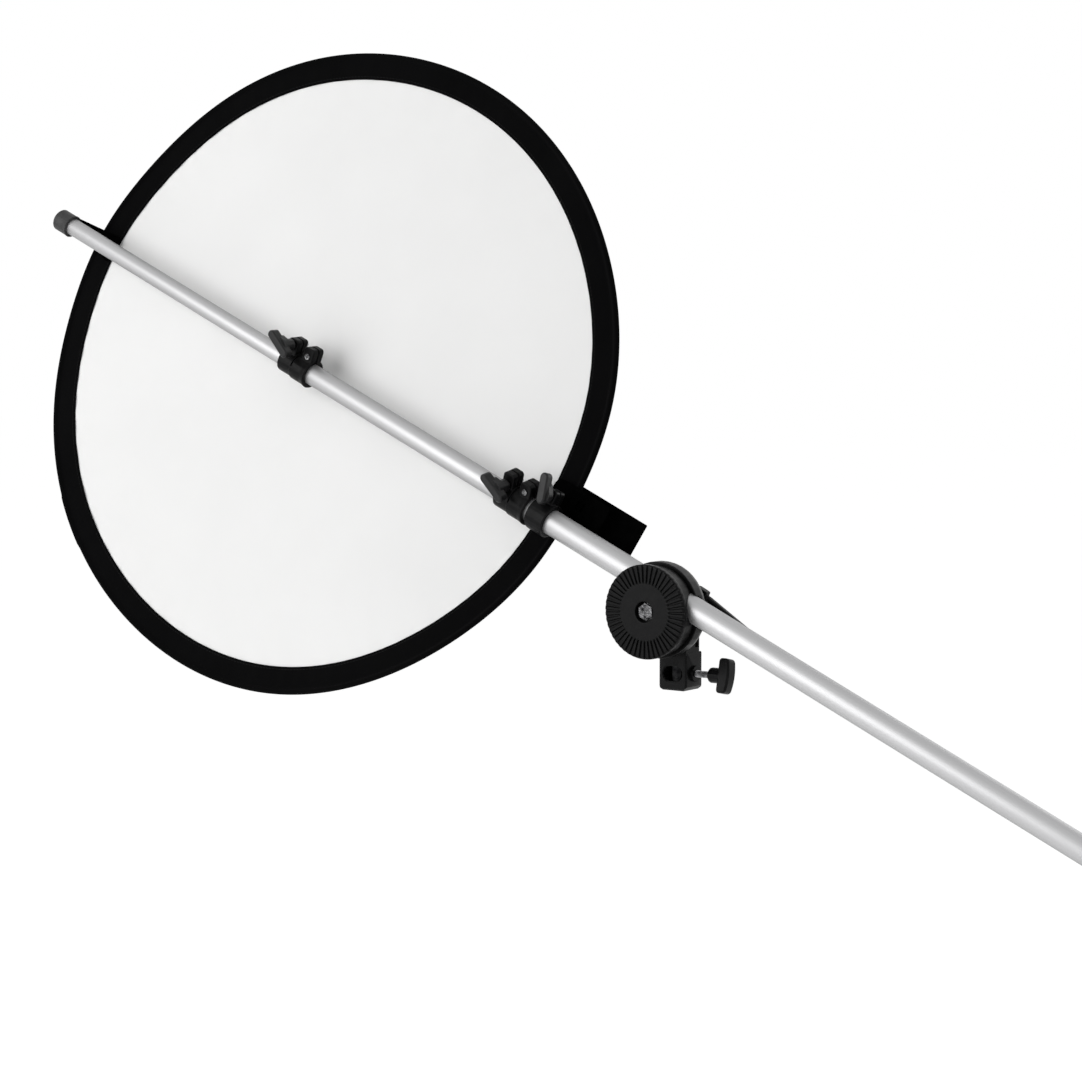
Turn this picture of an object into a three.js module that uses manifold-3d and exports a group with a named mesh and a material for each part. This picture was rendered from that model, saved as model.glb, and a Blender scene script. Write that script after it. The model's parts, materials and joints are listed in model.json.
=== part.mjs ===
// A collapsible reflector disc on its telescopic holder arm and tilting head.
// Millimetres, +Z up. The origin is the middle of the receiver's underside, on its socket's axis.
// The white side of the disc faces -Y, and the arm rises towards -X.

import * as THREE from 'three';
import { mergeVertices } from 'three/addons/utils/BufferGeometryUtils.js';
import Module from 'manifold-3d';

const wasm = await Module();
wasm.setup();

// Driving dimensions of the whole

const gap = 0.3;                    // room between pieces that touch
const fineGap = 0.2;                // room inside the sewn rim
const overrun = 2;                  // how far a cutter runs past what it cuts
const armTilt = THREE.MathUtils.degToRad(24.5);
const discTurn = THREE.MathUtils.degToRad(16.4);   // the disc about the arm's axis
const boltHeight = 71.1;            // head bolt above the receiver's underside

// Tubes of the arm
const outerTubeRadius = 11;
const tubeWall = 1;
const tubePlay = 0.5;               // radial room between one tube and the next
const outerTubeLength = 650;
const midTubeLength = 640;
const innerTubeLength = 640;
const outerTubeShown = 151.5;       // from the head bolt to the end of the lower lock
const midTubeShown = 269.5;         // from the lower lock to the upper lock

// Tube locks
const lockLength = 34;
const lockWall = 3.2;
const clampWall = 3.8;              // wall of the half that grips the inner tube
const lockLip = 5;                  // length of the flared lip
const lockFlare = 0.8;
const lockSeat = 16;                // how deep the outer tube sits in the lock
const clampZone = 15.7;             // length of the half that grips the inner tube
const lockSlot = 1.8;
const lockSlotDepth = 11;
const lugWidth = 12;
const lugSetback = 2;               // ring beyond the clamp lugs
const lugHalfDepth = 7.2;
const lugRise = 11.2;               // lug above the tube's surface in the lock
const lugCorner = 3.2;
const lugEdge = 0.7;
const lugSlit = 1.6;
const lockBoltRadius = 2.5;
const lockScrewRise = 6.2;          // fixed screw's axis above the outer tube's surface
const lowerBoltRise = 5.3;          // lever bolt's axis above the inner tube's surface
const upperBoltRise = 10.3;
const boltHeadAcross = 7;
const boltHeadHeight = 3.2;
const lockScrewRadius = 1.5;
const lockScrewHeadRadius = 2.8;
const lockScrewHeadHeight = 2;
const lockScrewSink = 1.6;          // how deep the screw's head sits in the lug
const lockScrewCross = 0.8;         // width and depth of the cross in the screw's head
const lockNutAcross = 5.5;
const lockNutHeight = 2.4;
const lowerLockLean = THREE.MathUtils.degToRad(15);
const upperLockLean = THREE.MathUtils.degToRad(3);

// Wing levers
const leverReach = 13.2;            // from the hinge to the centre of the rounded tip
const leverTail = 8.3;
const leverHubLength = 10.5;
const slideLeverReach = 15.5;
const slideLeverTail = 3.8;
const slideLeverHubLength = 5.2;
const leverWidth = 8;
const leverDepth = 9.5;
const leverHubRadius = 6;
const leverNeckRadius = 3.6;
const leverNeckLength = 2.8;
const leverEdge = 1.1;
const leverSocket = 8;              // how deep the bolt sits in the lever
const lowerLeverAngle = THREE.MathUtils.degToRad(153);
const upperLeverAngle = THREE.MathUtils.degToRad(153);
const clipLeverAngle = THREE.MathUtils.degToRad(108);

// Reflector disc
const discRadius = 300;
const bindingWidth = 25.3;
const panelHalfThickness = 0.4;
const clothWall = 0.6;              // sewn tape over the panel
const rimWall = 0.5;                // tape over the hoop's pocket
const hoopRadial = 1;
const hoopAxial = 3.6;
const ferruleWall = 0.4;
const ferruleLength = 30;
const hoopCut = 1;
const rimBack = 1.5;                // tape outside the hoop's pocket
const panelInset = 7.5;             // panel's edge inside the rim's outer edge
const discOffset = 5.6;             // disc centre above the arm's axis
const discBehind = 28.5;            // disc plane behind the tube's axis

// Rim clip on the slide collar
const slideRoom = 5;
const slideLength = 18;
const slideLean = THREE.MathUtils.degToRad(-10);
const slideBushWall = 1.2;
const slideWall = 2.2;
const slideBoltRise = 4.6;          // bolt axis above the ring's surface
const webLap = 3;
const webLength = 19;
const webHalfWidth = 8;
const footThickness = 5;
const rimPlay = 1.5;
const plateThickness = 2.5;
const plateReach = 28.4;
const plateTail = 68.2;
const plateLow = 9;
const plateHigh = 38;
const plateCorner = 1;
const jawLow = 9.5;
const jawHigh = 35.5;
const jawThickness = 4;
const jawReach = 26.4;
const jawTail = 30;
const jawTailLift = 3;
const jawFlare = 3;
const jawRib = 1.4;
const jawRibPitch = 4.2;
const jawRibLength = 16;
const pinSetback = 7.5;
const pinRadius = 1.5;
const knuckleRadius = 3.4;
const earThickness = 1.8;
const springWire = 0.6;
const springTurns = 3;
const springPitchShare = 1.3;       // pitch of the coil, as a share of the wire's thickness
const springNotch = 8;
const springLeg = 9;
const clipScrewRadius = 1.9;
const clipScrewHead = 3.4;
const clipScrewLength = 6.5;

// End cap and end clip
const capRadius = 10.5;
const capLength = 18;
const capFloor = 3;
const capEdge = 1.6;
const capLip = 0.5;
const hookThickness = 2.5;
const hookWeb = 4.5;
const hookReach = 28;
const hookBackReach = 24;
const hookStem = 21;
const hookNarrow = 7.5;
const hookShoulder = 8.5;           // the upper side is wider at the cap
const hookWide = 13;
const hookCorner = 3;
const hookCapLap = 4;               // the hook starts this far in from the cap's closed end

// Tilting head
const plateRadius = 40.2;
const ribbedThickness = 5.6;
const ribCount = 48;
const ribDepth = 1.1;
const plainShare = 0.6;             // plain middle of the ribbed plate, as a share of its radius
const ribEndShare = 0.93;
const plateBevel = 1.6;
const jawRadius = 38.4;
const rearJawRadius = 41.2;
const rearJawRound = 9;
const jawWeb = 2.1;                 // jaw left between the bolt's hole and the tube's groove
const jawLip = 2.8;
const jawFloor = 7.5;
const partingGap = 0.8;
const headBoltRadius = 4;
const headBoltAcross = 13;
const headBoltHeadHeight = 3.4;
const headBoltFlange = 7.4;
const headBoltFlangeThickness = 1.2;
const headBoltPocket = 9;
const frictionThickness = 1.2;
const frictionRadius = 26;

// Receiver
const blockWidth = 28;
const blockDepth = 25.4;
const blockHeight = 32.7;
const blockFoot = 3.4;              // chamfer round the underside
const blockShoulder = 3;
const blockEdge = 1.4;
const socketRadius = 8.15;
const linerWall = 1;
const socketDepth = 29.5;
const screwHeight = 14.4;           // the socket screw's axis above the underside
const windowHalfWidth = 10.4;
const windowHalfHeight = 7.3;
const windowChamfer = 0.8;
const neckHalfWidth = 13.8;
const neckBack = 8;
const earRadius = 30;
const earThick = 6.9;
const earFront = 15.9;              // ear's front face, in front of the socket's axis
const bossRadius = 18;
const pocketDepth = 5;
const pocketWall = 2;
const pocketRib = 8;
const pocketBase = 4;
const screwBossRadius = 7;
const screwBossReach = 16.6;
const insertRadius = 5.6;
const insertLength = 5;
const insertSink = 2;               // plastic left over the insert's outer end

// Socket screw and its knob
const screwRadius = 3;
const screwEnd = 45;
const screwPoint = 0.8;
const knobHubRadius = 6.7;
const knobHubStart = 30.3;
const knobHubLength = 10.3;
const knobHeadLength = 30;
const knobHeadDepth = 10;
const knobHeadHalfWidth = 6.2;
const knobEdge = 1.4;
const knobTurn = THREE.MathUtils.degToRad(-12.5);

// Clamp handle
const handleHubRadius = 17;
const handleHubLength = 12;
const handleAngle = THREE.MathUtils.degToRad(-26);
const handleRootPlace = 12;
const handleReach = 70;
const handleRoot = 15.2;
const handleTip = 8.5;
const handleStep = 3.4;
const gripThickness = 6.8;
const handleEdge = 1.5;
const shoulderLength = 12.5;
const shoulderRise = 19.6;
const shoulderDepth = 6.8;
const washerThickness = 1.6;
const washerRadius = 9;
const handleNutAcross = 13;
const handleNutHeight = 6.5;

// Tail cap and tube guides
const tailCapLength = 18;
const tailCapWall = 1.4;
const tailPlugLength = 12;
const tailFloor = 3;
const guideLength = 14;
const guideCollar = 3;
const guideWall = 1.2;

// Counts of facets
const fineSides = 64;
const drumSides = 40;
const roundSides = 28;
const smallSides = 12;
const cornerSides = 3;
const leverCurve = 6;
const wireSides = 5;

// Lengths that follow from the driving ones

const midTubeRadius = outerTubeRadius - tubeWall - tubePlay;
const innerTubeRadius = midTubeRadius - tubeWall - tubePlay;
const earBack = -earFront + earThick;
const rearJawBack = -earFront - gap - frictionThickness - gap;
const tubeForward = rearJawBack - jawFloor - gap - outerTubeRadius;
const tubeAbove = headBoltRadius + gap + jawWeb + gap + outerTubeRadius;
const frontJawFront = tubeForward - outerTubeRadius - gap - jawLip;
const lowerLockPlace = -outerTubeShown;
const insertEnd = screwBossReach - insertSink;
const insertStart = insertEnd - insertLength;
const clampLugMiddle = -lockLength + lugSetback + lugWidth / 2;
const upperLockPlace = lowerLockPlace - midTubeShown;
const outerTubeStart = lowerLockPlace - lockSeat;
const midTubeStart = upperLockPlace - lockSeat;
const slideStart = lowerLockPlace + slideRoom;
const slideEnd = slideStart + slideLength;
const slideRadius = outerTubeRadius + gap + slideBushWall + gap + slideWall;
const webStart = slideEnd - webLap;
const ferruleHalfRadial = hoopRadial / 2 + fineGap + ferruleWall;
const ferruleHalfAxial = hoopAxial / 2 + fineGap + ferruleWall;
const pocketHalfRadial = ferruleHalfRadial + fineGap;
const pocketHalfAxial = ferruleHalfAxial + fineGap;
const rimHalf = pocketHalfAxial + rimWall;
const halfChord = Math.sqrt(discRadius * discRadius - discOffset * discOffset);
const discPlace = webStart - rimPlay - halfChord;
const rimFront = discBehind - rimHalf;
const rimRear = discBehind + rimHalf;
const hookWebEnd = discPlace - halfChord - rimPlay;
const hookWebStart = hookWebEnd - hookWeb;
const hookStart = hookWebStart - hookStem;
const capStart = hookStart - hookCapLap;
const innerTubeStart = capStart + capFloor + gap;
const bossBack = neckBack;
const handleFront = bossBack + gap + washerThickness + gap;
const handleBack = handleFront + handleHubLength;

// Solids from three.js geometry

function solid(geometry) {
  geometry.deleteAttribute('normal');
  geometry.deleteAttribute('uv');
  const merged = mergeVertices(geometry);
  const index = merged.index.array;
  const kept = [];
  for (let i = 0; i < index.length; i += 3) {
    const [a, b, c] = [index[i], index[i + 1], index[i + 2]];
    if (a !== b && b !== c && c !== a) kept.push(a, b, c);
  }
  return new wasm.Manifold(new wasm.Mesh({
    numProp: 3,
    vertProperties: new Float32Array(merged.attributes.position.array),
    triVerts: new Uint32Array(kept),
  }));
}

function box(x0, x1, y0, y1, z0, z1) {
  const geometry = new THREE.BoxGeometry(x1 - x0, y1 - y0, z1 - z0);
  geometry.translate((x0 + x1) / 2, (y0 + y1) / 2, (z0 + z1) / 2);
  return solid(geometry);
}

// Turns a geometry built round the Y axis onto another axis
function ontoAxis(geometry, axis) {
  if (axis === 'x') geometry.rotateZ(-Math.PI / 2);
  if (axis === 'z') geometry.rotateX(Math.PI / 2);
  return geometry;
}

// A cylinder along an axis; centre gives its place on all three axes at along = 0
function rod(axis, radius, from, to, centre = [0, 0, 0], sides = roundSides) {
  const geometry = new THREE.CylinderGeometry(radius, radius, to - from, sides);
  geometry.translate(0, (from + to) / 2, 0);
  return solid(ontoAxis(geometry, axis).translate(...centre));
}

// A closed profile of [radius, along] points, run up the outside first, turned about an axis
function turned(axis, profile, centre = [0, 0, 0], sides = roundSides) {
  const points = profile.map(([radius, along]) => new THREE.Vector2(radius, along));
  const geometry = new THREE.LatheGeometry(points, sides);
  return solid(ontoAxis(geometry, axis).translate(...centre));
}

// A ring: a closed rectangle of radius and length, turned about an axis
function sleeve(axis, inner, outer, from, to, centre = [0, 0, 0], sides = roundSides) {
  const profile = [[outer, from], [outer, to], [inner, to], [inner, from], [outer, from]];
  return turned(axis, profile, centre, sides);
}

// A hexagonal bar along an axis, by its size across flats
function hexagon(axis, across, from, to, centre = [0, 0, 0]) {
  const geometry = new THREE.CylinderGeometry(across / Math.sqrt(3), across / Math.sqrt(3), to - from, 6);
  geometry.rotateY(Math.PI / 6);
  geometry.translate(0, (from + to) / 2, 0);
  return solid(ontoAxis(geometry, axis).translate(...centre));
}

// An outline extruded along an axis: along x it lies in Y and Z, along y in X and Z
function extruded(axis, shape, from, to, edge = 0, curveSegments = cornerSides) {
  const geometry = new THREE.ExtrudeGeometry(shape, {
    depth: to - from - 2 * edge,
    bevelEnabled: edge > 0,
    bevelThickness: edge,
    bevelSize: edge,
    bevelOffset: -edge,
    bevelSegments: 1,
    curveSegments,
  });
  geometry.translate(0, 0, edge);
  const basis = new THREE.Matrix4();
  const [x, y, z] = [new THREE.Vector3(1, 0, 0), new THREE.Vector3(0, 1, 0), new THREE.Vector3(0, 0, 1)];
  if (axis === 'x') basis.makeBasis(y, z, x).setPosition(from, 0, 0);
  if (axis === 'y') basis.makeBasis(x, z, y.clone().negate()).setPosition(0, to, 0);
  if (axis === 'z') basis.setPosition(0, 0, from);
  return solid(geometry.applyMatrix4(basis));
}

function roundedRectangle(x0, x1, y0, y1, corner) {
  const shape = new THREE.Shape();
  shape.absarc(x1 - corner, y0 + corner, corner, -Math.PI / 2, 0);
  shape.absarc(x1 - corner, y1 - corner, corner, 0, Math.PI / 2);
  shape.absarc(x0 + corner, y1 - corner, corner, Math.PI / 2, Math.PI);
  shape.absarc(x0 + corner, y0 + corner, corner, Math.PI, 1.5 * Math.PI);
  shape.closePath();
  return shape;
}

// A bar with round ends that may differ, along the outline's first axis
function taperedBar(from, to, fromRadius, toRadius) {
  const slope = Math.asin((fromRadius - toRadius) / (to - from));
  const shape = new THREE.Shape();
  shape.absarc(to, 0, toRadius, -Math.PI / 2 + slope, Math.PI / 2 - slope);
  shape.absarc(from, 0, fromRadius, Math.PI / 2 - slope, 1.5 * Math.PI + slope);
  shape.closePath();
  return shape;
}

// The scene graph

const root = new THREE.Group();

function group(parent) {
  const child = new THREE.Group();
  parent.add(child);
  return child;
}

function place(parent, name, body, finish) {
  const data = body.getMesh();
  const geometry = new THREE.BufferGeometry();
  geometry.setAttribute('position', new THREE.BufferAttribute(new Float32Array(data.vertProperties), 3));
  geometry.setIndex(new THREE.BufferAttribute(new Uint32Array(data.triVerts), 1));
  geometry.computeVertexNormals();
  const [color, roughness, metalness] = finish;
  const mesh = new THREE.Mesh(geometry, new THREE.MeshStandardMaterial({ color, roughness, metalness }));
  mesh.name = name;
  parent.add(mesh);
  return mesh;
}

const blackPlastic = [0x161616, 0.5, 0];
const matteRubber = [0x080808, 0.9, 0];
const anodised = [0xc4c6c9, 0.35, 1];
const steel = [0xb8b9bb, 0.3, 1];
const brass = [0xb79a5a, 0.35, 1];
const whiteCloth = [0xf2f2f0, 0.85, 0];
const blackCloth = [0x0c0c0d, 0.9, 0];

const tiltGroup = group(root);
tiltGroup.position.set(0, 0, boltHeight);
tiltGroup.rotation.y = armTilt;

const armGroup = group(tiltGroup);
armGroup.position.set(0, tubeForward, tubeAbove);

// In the clip group Y runs from the tube to the disc's plane and Z runs across the arm
const clipGroup = group(armGroup);
clipGroup.rotation.x = -discTurn;

// Receiver with the stud socket

function receiverBlock() {
  const half = blockWidth / 2;
  const outline = new THREE.Shape();
  outline.moveTo(-half + blockFoot, 0);
  outline.lineTo(half - blockFoot, 0);
  outline.lineTo(half, blockFoot);
  outline.lineTo(half, blockHeight);
  outline.lineTo(-half, blockHeight);
  outline.lineTo(-half, blockFoot);
  outline.closePath();
  const side = new THREE.Shape();
  const deep = blockDepth / 2;
  side.moveTo(-deep + blockEdge, 0);
  side.lineTo(deep - blockEdge, 0);
  side.lineTo(deep, blockEdge);
  side.lineTo(deep, blockHeight - blockShoulder);
  side.lineTo(neckBack, blockHeight + blockShoulder);
  side.lineTo(-deep, blockHeight + blockShoulder);
  side.lineTo(-deep, blockEdge);
  side.closePath();
  const plan = new THREE.Shape();
  plan.moveTo(-half, -deep + blockEdge);
  plan.lineTo(-half + blockEdge, -deep);
  plan.lineTo(half - blockEdge, -deep);
  plan.lineTo(half, -deep + blockEdge);
  plan.lineTo(half, deep - blockEdge);
  plan.lineTo(half - blockEdge, deep);
  plan.lineTo(-half + blockEdge, deep);
  plan.lineTo(-half, deep - blockEdge);
  plan.closePath();
  return extruded('y', outline, -deep, deep)
    .intersect(extruded('x', side, -half, half))
    .intersect(extruded('z', plan, 0, blockHeight));
}

function neckPockets() {
  const deep = blockDepth / 2;
  const top = boltHeight - bossRadius - pocketBase;
  const bottom = blockHeight + pocketBase;
  const pockets = [];
  for (const side of [-1, 1]) {
    const faces = [side * (neckHalfWidth - pocketDepth), side * (neckHalfWidth + overrun)];
    const [x0, x1] = faces.sort((a, b) => a - b);
    pockets.push(box(x0, x1, -deep + pocketWall, -deep / 2, bottom, top));
    pockets.push(box(x0, x1, -deep / 2 + pocketRib, neckBack - pocketWall, bottom, top));
  }
  return pockets;
}

function receiver() {
  const deep = blockDepth / 2;
  const bolt = [0, 0, boltHeight];
  let body = receiverBlock();
  const neckTop = boltHeight - bossRadius / 2;
  const screwAxis = [0, 0, screwHeight];
  body = body.add(box(-neckHalfWidth, neckHalfWidth, -deep, neckBack, blockHeight - overrun, neckTop));
  body = body.add(rod('x', screwBossRadius, 0, screwBossReach, screwAxis, smallSides));
  for (const pocket of neckPockets()) body = body.subtract(pocket);
  body = body.add(turned('y', [
    [0, -earFront], [earRadius - blockEdge, -earFront], [earRadius, -earFront + blockEdge],
    [earRadius, earBack - blockEdge], [earRadius - blockEdge, earBack], [bossRadius, earBack],
    [bossRadius, bossBack - blockEdge], [bossRadius - blockEdge, bossBack], [0, bossBack],
  ], bolt));
  body = body.subtract(rod('z', socketRadius + linerWall + gap, -overrun, socketDepth + gap));
  const steps = [[0, deep], [windowChamfer / 2, windowChamfer], [windowChamfer, windowChamfer / 2]];
  for (const [grow, depth] of steps) {
    const halfWidth = windowHalfWidth - windowChamfer + grow;
    const halfHeight = windowHalfHeight - windowChamfer + grow;
    const [low, high] = [screwHeight - halfHeight, screwHeight + halfHeight];
    const outline = roundedRectangle(-halfWidth, halfWidth, low, high, halfHeight - gap);
    body = body.subtract(extruded('y', outline, -deep - overrun, -deep + depth));
  }
  const through = headBoltRadius + gap;
  body = body.subtract(rod('y', through, -earFront - overrun, bossBack + overrun, bolt, smallSides));
  const bore = rod('x', screwRadius + gap, 0, screwBossReach + overrun, screwAxis, smallSides);
  const pocket = rod('x', insertRadius + gap, insertStart - gap, insertEnd + gap, screwAxis, smallSides);
  return body.subtract(bore).subtract(pocket);
}

place(root, 'receiver', receiver(), blackPlastic);
place(root, 'screw_insert', sleeve('x', screwRadius + gap, insertRadius, insertStart, insertEnd,
  [0, 0, screwHeight], smallSides), brass);

// Steel liner of the stud's socket, seen through the window
function socketLiner() {
  const outer = socketRadius + linerWall;
  return sleeve('z', socketRadius, outer, 0, socketDepth)
    .subtract(rod('x', screwRadius + gap, 0, outer + overrun, [0, 0, screwHeight], smallSides));
}

place(root, 'socket_liner', socketLiner(), steel);

// Socket screw and its T knob

place(root, 'socket_screw', turned('x', [
  [0, socketRadius + gap], [screwRadius - screwPoint, socketRadius + gap],
  [screwRadius, socketRadius + gap + screwPoint], [screwRadius, screwEnd], [0, screwEnd],
], [0, 0, screwHeight], smallSides), steel);

function socketKnob() {
  const hubEnd = knobHubStart + knobHubLength;
  const headEnd = hubEnd + knobHeadDepth;
  const half = knobHeadLength / 2;
  const hub = turned('x', [
    [0, knobHubStart], [knobHubRadius - knobEdge, knobHubStart], [knobHubRadius, knobHubStart + knobEdge],
    [knobHubRadius, hubEnd + knobEdge], [0, hubEnd + knobEdge],
  ], [0, 0, 0], smallSides);
  const head = extruded('y', roundedRectangle(hubEnd, headEnd, -half, half, 2 * knobEdge),
    -knobHeadHalfWidth, knobHeadHalfWidth, knobEdge);
  const bore = rod('x', screwRadius + gap, knobHubStart - overrun, screwEnd + gap, [0, 0, 0], smallSides);
  return hub.add(head)
    .subtract(bore)
    .rotate([THREE.MathUtils.radToDeg(knobTurn), 0, 0])
    .translate([0, 0, screwHeight]);
}

place(root, 'socket_knob', socketKnob(), blackPlastic);

// Tilting head: ribbed plate, two jaws round the tube, bolt and friction disc

// Ring by ring from the middle of the front to the middle of the back, ridge and valley in turn
function ribbedPlate() {
  const back = frontJawFront - gap;
  const front = back - ribbedThickness;
  const plain = plainShare * plateRadius;
  const ribEnd = ribEndShare * plateRadius;
  const bevelStart = plateRadius - plateBevel;
  const rings = [
    [0, front, 0], [plain, front, 0], [plain + ribDepth, front, 1], [ribEnd, front, 1],
    [bevelStart, front + ribDepth / 2, 1], [plateRadius, front + plateBevel + ribDepth / 2, 0],
    [plateRadius, back - plateBevel / 2, 0], [plateRadius - plateBevel / 2, back, 0], [0, back, 0],
  ];
  const ridgeAndValley = 2;
  const steps = ribCount * ridgeAndValley;
  const positions = [];
  for (const [radius, along, rib] of rings) {
    for (let step = 0; step < steps; step += 1) {
      const angle = (2 * Math.PI * step) / steps;
      const groove = rib * ribDepth * (step % ridgeAndValley);
      positions.push(radius * Math.cos(angle), along + groove, radius * Math.sin(angle));
    }
  }
  const index = [];
  for (let ring = 0; ring + 1 < rings.length; ring += 1) {
    for (let step = 0; step < steps; step += 1) {
      const next = (step + 1) % steps;
      const [a, b] = [ring * steps + step, ring * steps + next];
      const [c, d] = [a + steps, b + steps];
      index.push(a, c, b, b, c, d);
    }
  }
  const geometry = new THREE.BufferGeometry();
  geometry.setAttribute('position', new THREE.Float32BufferAttribute(positions, 3));
  geometry.setIndex(index);
  return solid(geometry)
    .subtract(rod('y', headBoltPocket, front - overrun, back + overrun));
}

function tubeGroove() {
  return rod('x', outerTubeRadius + gap, -plateRadius - overrun, plateRadius + overrun,
    [0, tubeForward, tubeAbove]);
}

function boltHole(from, to) {
  return rod('y', headBoltRadius + gap, from - overrun, to + overrun, [0, 0, 0], smallSides);
}

function frontJaw() {
  const back = tubeForward - partingGap / 2;
  const drum = turned('y', [
    [0, frontJawFront], [jawRadius - blockEdge, frontJawFront], [jawRadius, frontJawFront + blockEdge],
    [jawRadius, back], [0, back],
  ], [0, 0, 0], drumSides);
  return drum.subtract(tubeGroove()).subtract(boltHole(frontJawFront, back));
}

function rearJaw() {
  const front = tubeForward + partingGap / 2;
  const profile = [[0, front], [rearJawRadius, front]];
  const quarterSteps = 4;
  for (let step = 0; step <= quarterSteps; step += 1) {
    const angle = (Math.PI / 2) * (step / quarterSteps);
    profile.push([
      rearJawRadius - rearJawRound + rearJawRound * Math.cos(angle),
      rearJawBack - rearJawRound + rearJawRound * Math.sin(angle),
    ]);
  }
  profile.push([0, rearJawBack]);
  return turned('y', profile, [0, 0, 0], drumSides)
    .subtract(tubeGroove())
    .subtract(boltHole(front, rearJawBack));
}

function headBolt() {
  const seat = frontJawFront - gap;
  const end = handleBack - gap;
  return hexagon('y', headBoltAcross, seat - headBoltHeadHeight, seat)
    .add(rod('y', headBoltFlange, seat - headBoltFlangeThickness, seat))
    .add(rod('y', headBoltRadius, seat - overrun, end, [0, 0, 0], smallSides));
}

place(tiltGroup, 'front_plate', ribbedPlate(), blackPlastic);
place(tiltGroup, 'front_jaw', frontJaw(), blackPlastic);
place(tiltGroup, 'rear_jaw', rearJaw(), blackPlastic);
place(tiltGroup, 'head_bolt', headBolt(), steel);
place(tiltGroup, 'friction_disc', sleeve('y', headBoltRadius + gap, frictionRadius,
  rearJawBack + gap, rearJawBack + gap + frictionThickness), matteRubber);

// Clamp handle behind the head

function clampHandle() {
  const stepFront = handleFront + handleStep;
  const hub = turned('y', [
    [0, handleFront], [handleHubRadius - handleEdge, handleFront],
    [handleHubRadius, handleFront + handleEdge], [handleHubRadius, handleBack - handleEdge],
    [handleHubRadius - handleEdge, handleBack], [0, handleBack],
  ]);
  const grip = extruded('y', taperedBar(handleRootPlace, handleReach, handleRoot, handleTip),
    stepFront, stepFront + gripThickness, handleEdge, leverCurve);
  const shoulder = extruded('y', roundedRectangle(0, shoulderLength, 0, shoulderRise, handleEdge),
    handleFront, handleFront + shoulderDepth);
  const nutSeat = handleBack - handleNutHeight - gap;
  return hub.add(grip).add(shoulder)
    .subtract(boltHole(handleFront, handleBack))
    .subtract(hexagon('y', handleNutAcross + 2 * gap, nutSeat, handleBack + overrun));
}

const handleGroup = group(tiltGroup);
handleGroup.rotation.y = -handleAngle - armTilt;
place(handleGroup, 'clamp_handle', clampHandle(), blackPlastic);
place(handleGroup, 'handle_nut', hexagon('y', handleNutAcross, handleBack - handleNutHeight, handleBack)
  .subtract(boltHole(handleFront, handleBack)), steel);
place(handleGroup, 'handle_washer', sleeve('y', headBoltRadius + gap, washerRadius,
  bossBack + gap, bossBack + gap + washerThickness, [0, 0, 0], smallSides), steel);

// Tubes, their guides and the tail cap

function tube(radius, start, length) {
  return sleeve('x', radius - tubeWall, radius, start, start + length);
}

// A guide that plugs into a tube's inner end and runs in the next tube's bore
function tubeGuide(radius, end) {
  const bore = radius - tubeWall;
  const collar = radius + tubePlay - fineGap;
  return turned('x', [
    [bore - gap, end - guideLength], [bore - gap, end + gap], [collar, end + gap],
    [collar, end + gap + guideCollar], [bore - gap - guideWall, end + gap + guideCollar],
    [bore - gap - guideWall, end - guideLength], [bore - gap, end - guideLength],
  ]);
}

function tailCap() {
  const end = outerTubeStart + outerTubeLength;
  const outer = outerTubeRadius + gap + tailCapWall;
  const plug = outerTubeRadius - tubeWall - gap;
  return turned('x', [
    [0, end - tailPlugLength], [plug, end - tailPlugLength], [plug, end + gap],
    [outerTubeRadius + gap, end + gap], [outerTubeRadius + gap, end - tailCapLength],
    [outer, end - tailCapLength], [outer, end + tailFloor - capEdge], [outer - capEdge, end + tailFloor],
    [0, end + tailFloor],
  ]);
}

const midTubeEnd = midTubeStart + midTubeLength;
const innerTubeEnd = innerTubeStart + innerTubeLength;
place(armGroup, 'outer_tube', tube(outerTubeRadius, outerTubeStart, outerTubeLength), anodised);
place(armGroup, 'tail_cap', tailCap(), blackPlastic);
place(armGroup, 'mid_tube', tube(midTubeRadius, midTubeStart, midTubeLength), anodised);
place(armGroup, 'mid_tube_guide', tubeGuide(midTubeRadius, midTubeEnd), blackPlastic);
place(armGroup, 'inner_tube', tube(innerTubeRadius, innerTubeStart, innerTubeLength), anodised);
place(armGroup, 'inner_tube_guide', tubeGuide(innerTubeRadius, innerTubeEnd), blackPlastic);

// Split collars, bolts and wing levers

// A lug on a ring's +Z side, which is solid down to the axis and rounded as seen from the front
function lug(from, to, top) {
  return extruded('y', roundedRectangle(from, to, 0, top, lugCorner), -lugHalfDepth, lugHalfDepth, lugEdge);
}

// The slit that splits a ring's lugs, open at the top
function lugSplit(from, to, top) {
  return box(from, to, -lugSlit / 2, lugSlit / 2, 0, top + overrun);
}

function boltBore(radius, x, z) {
  const end = lugHalfDepth + outerTubeRadius + overrun;
  return rod('y', radius + gap, -end, end, [x, 0, z], smallSides);
}

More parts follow.
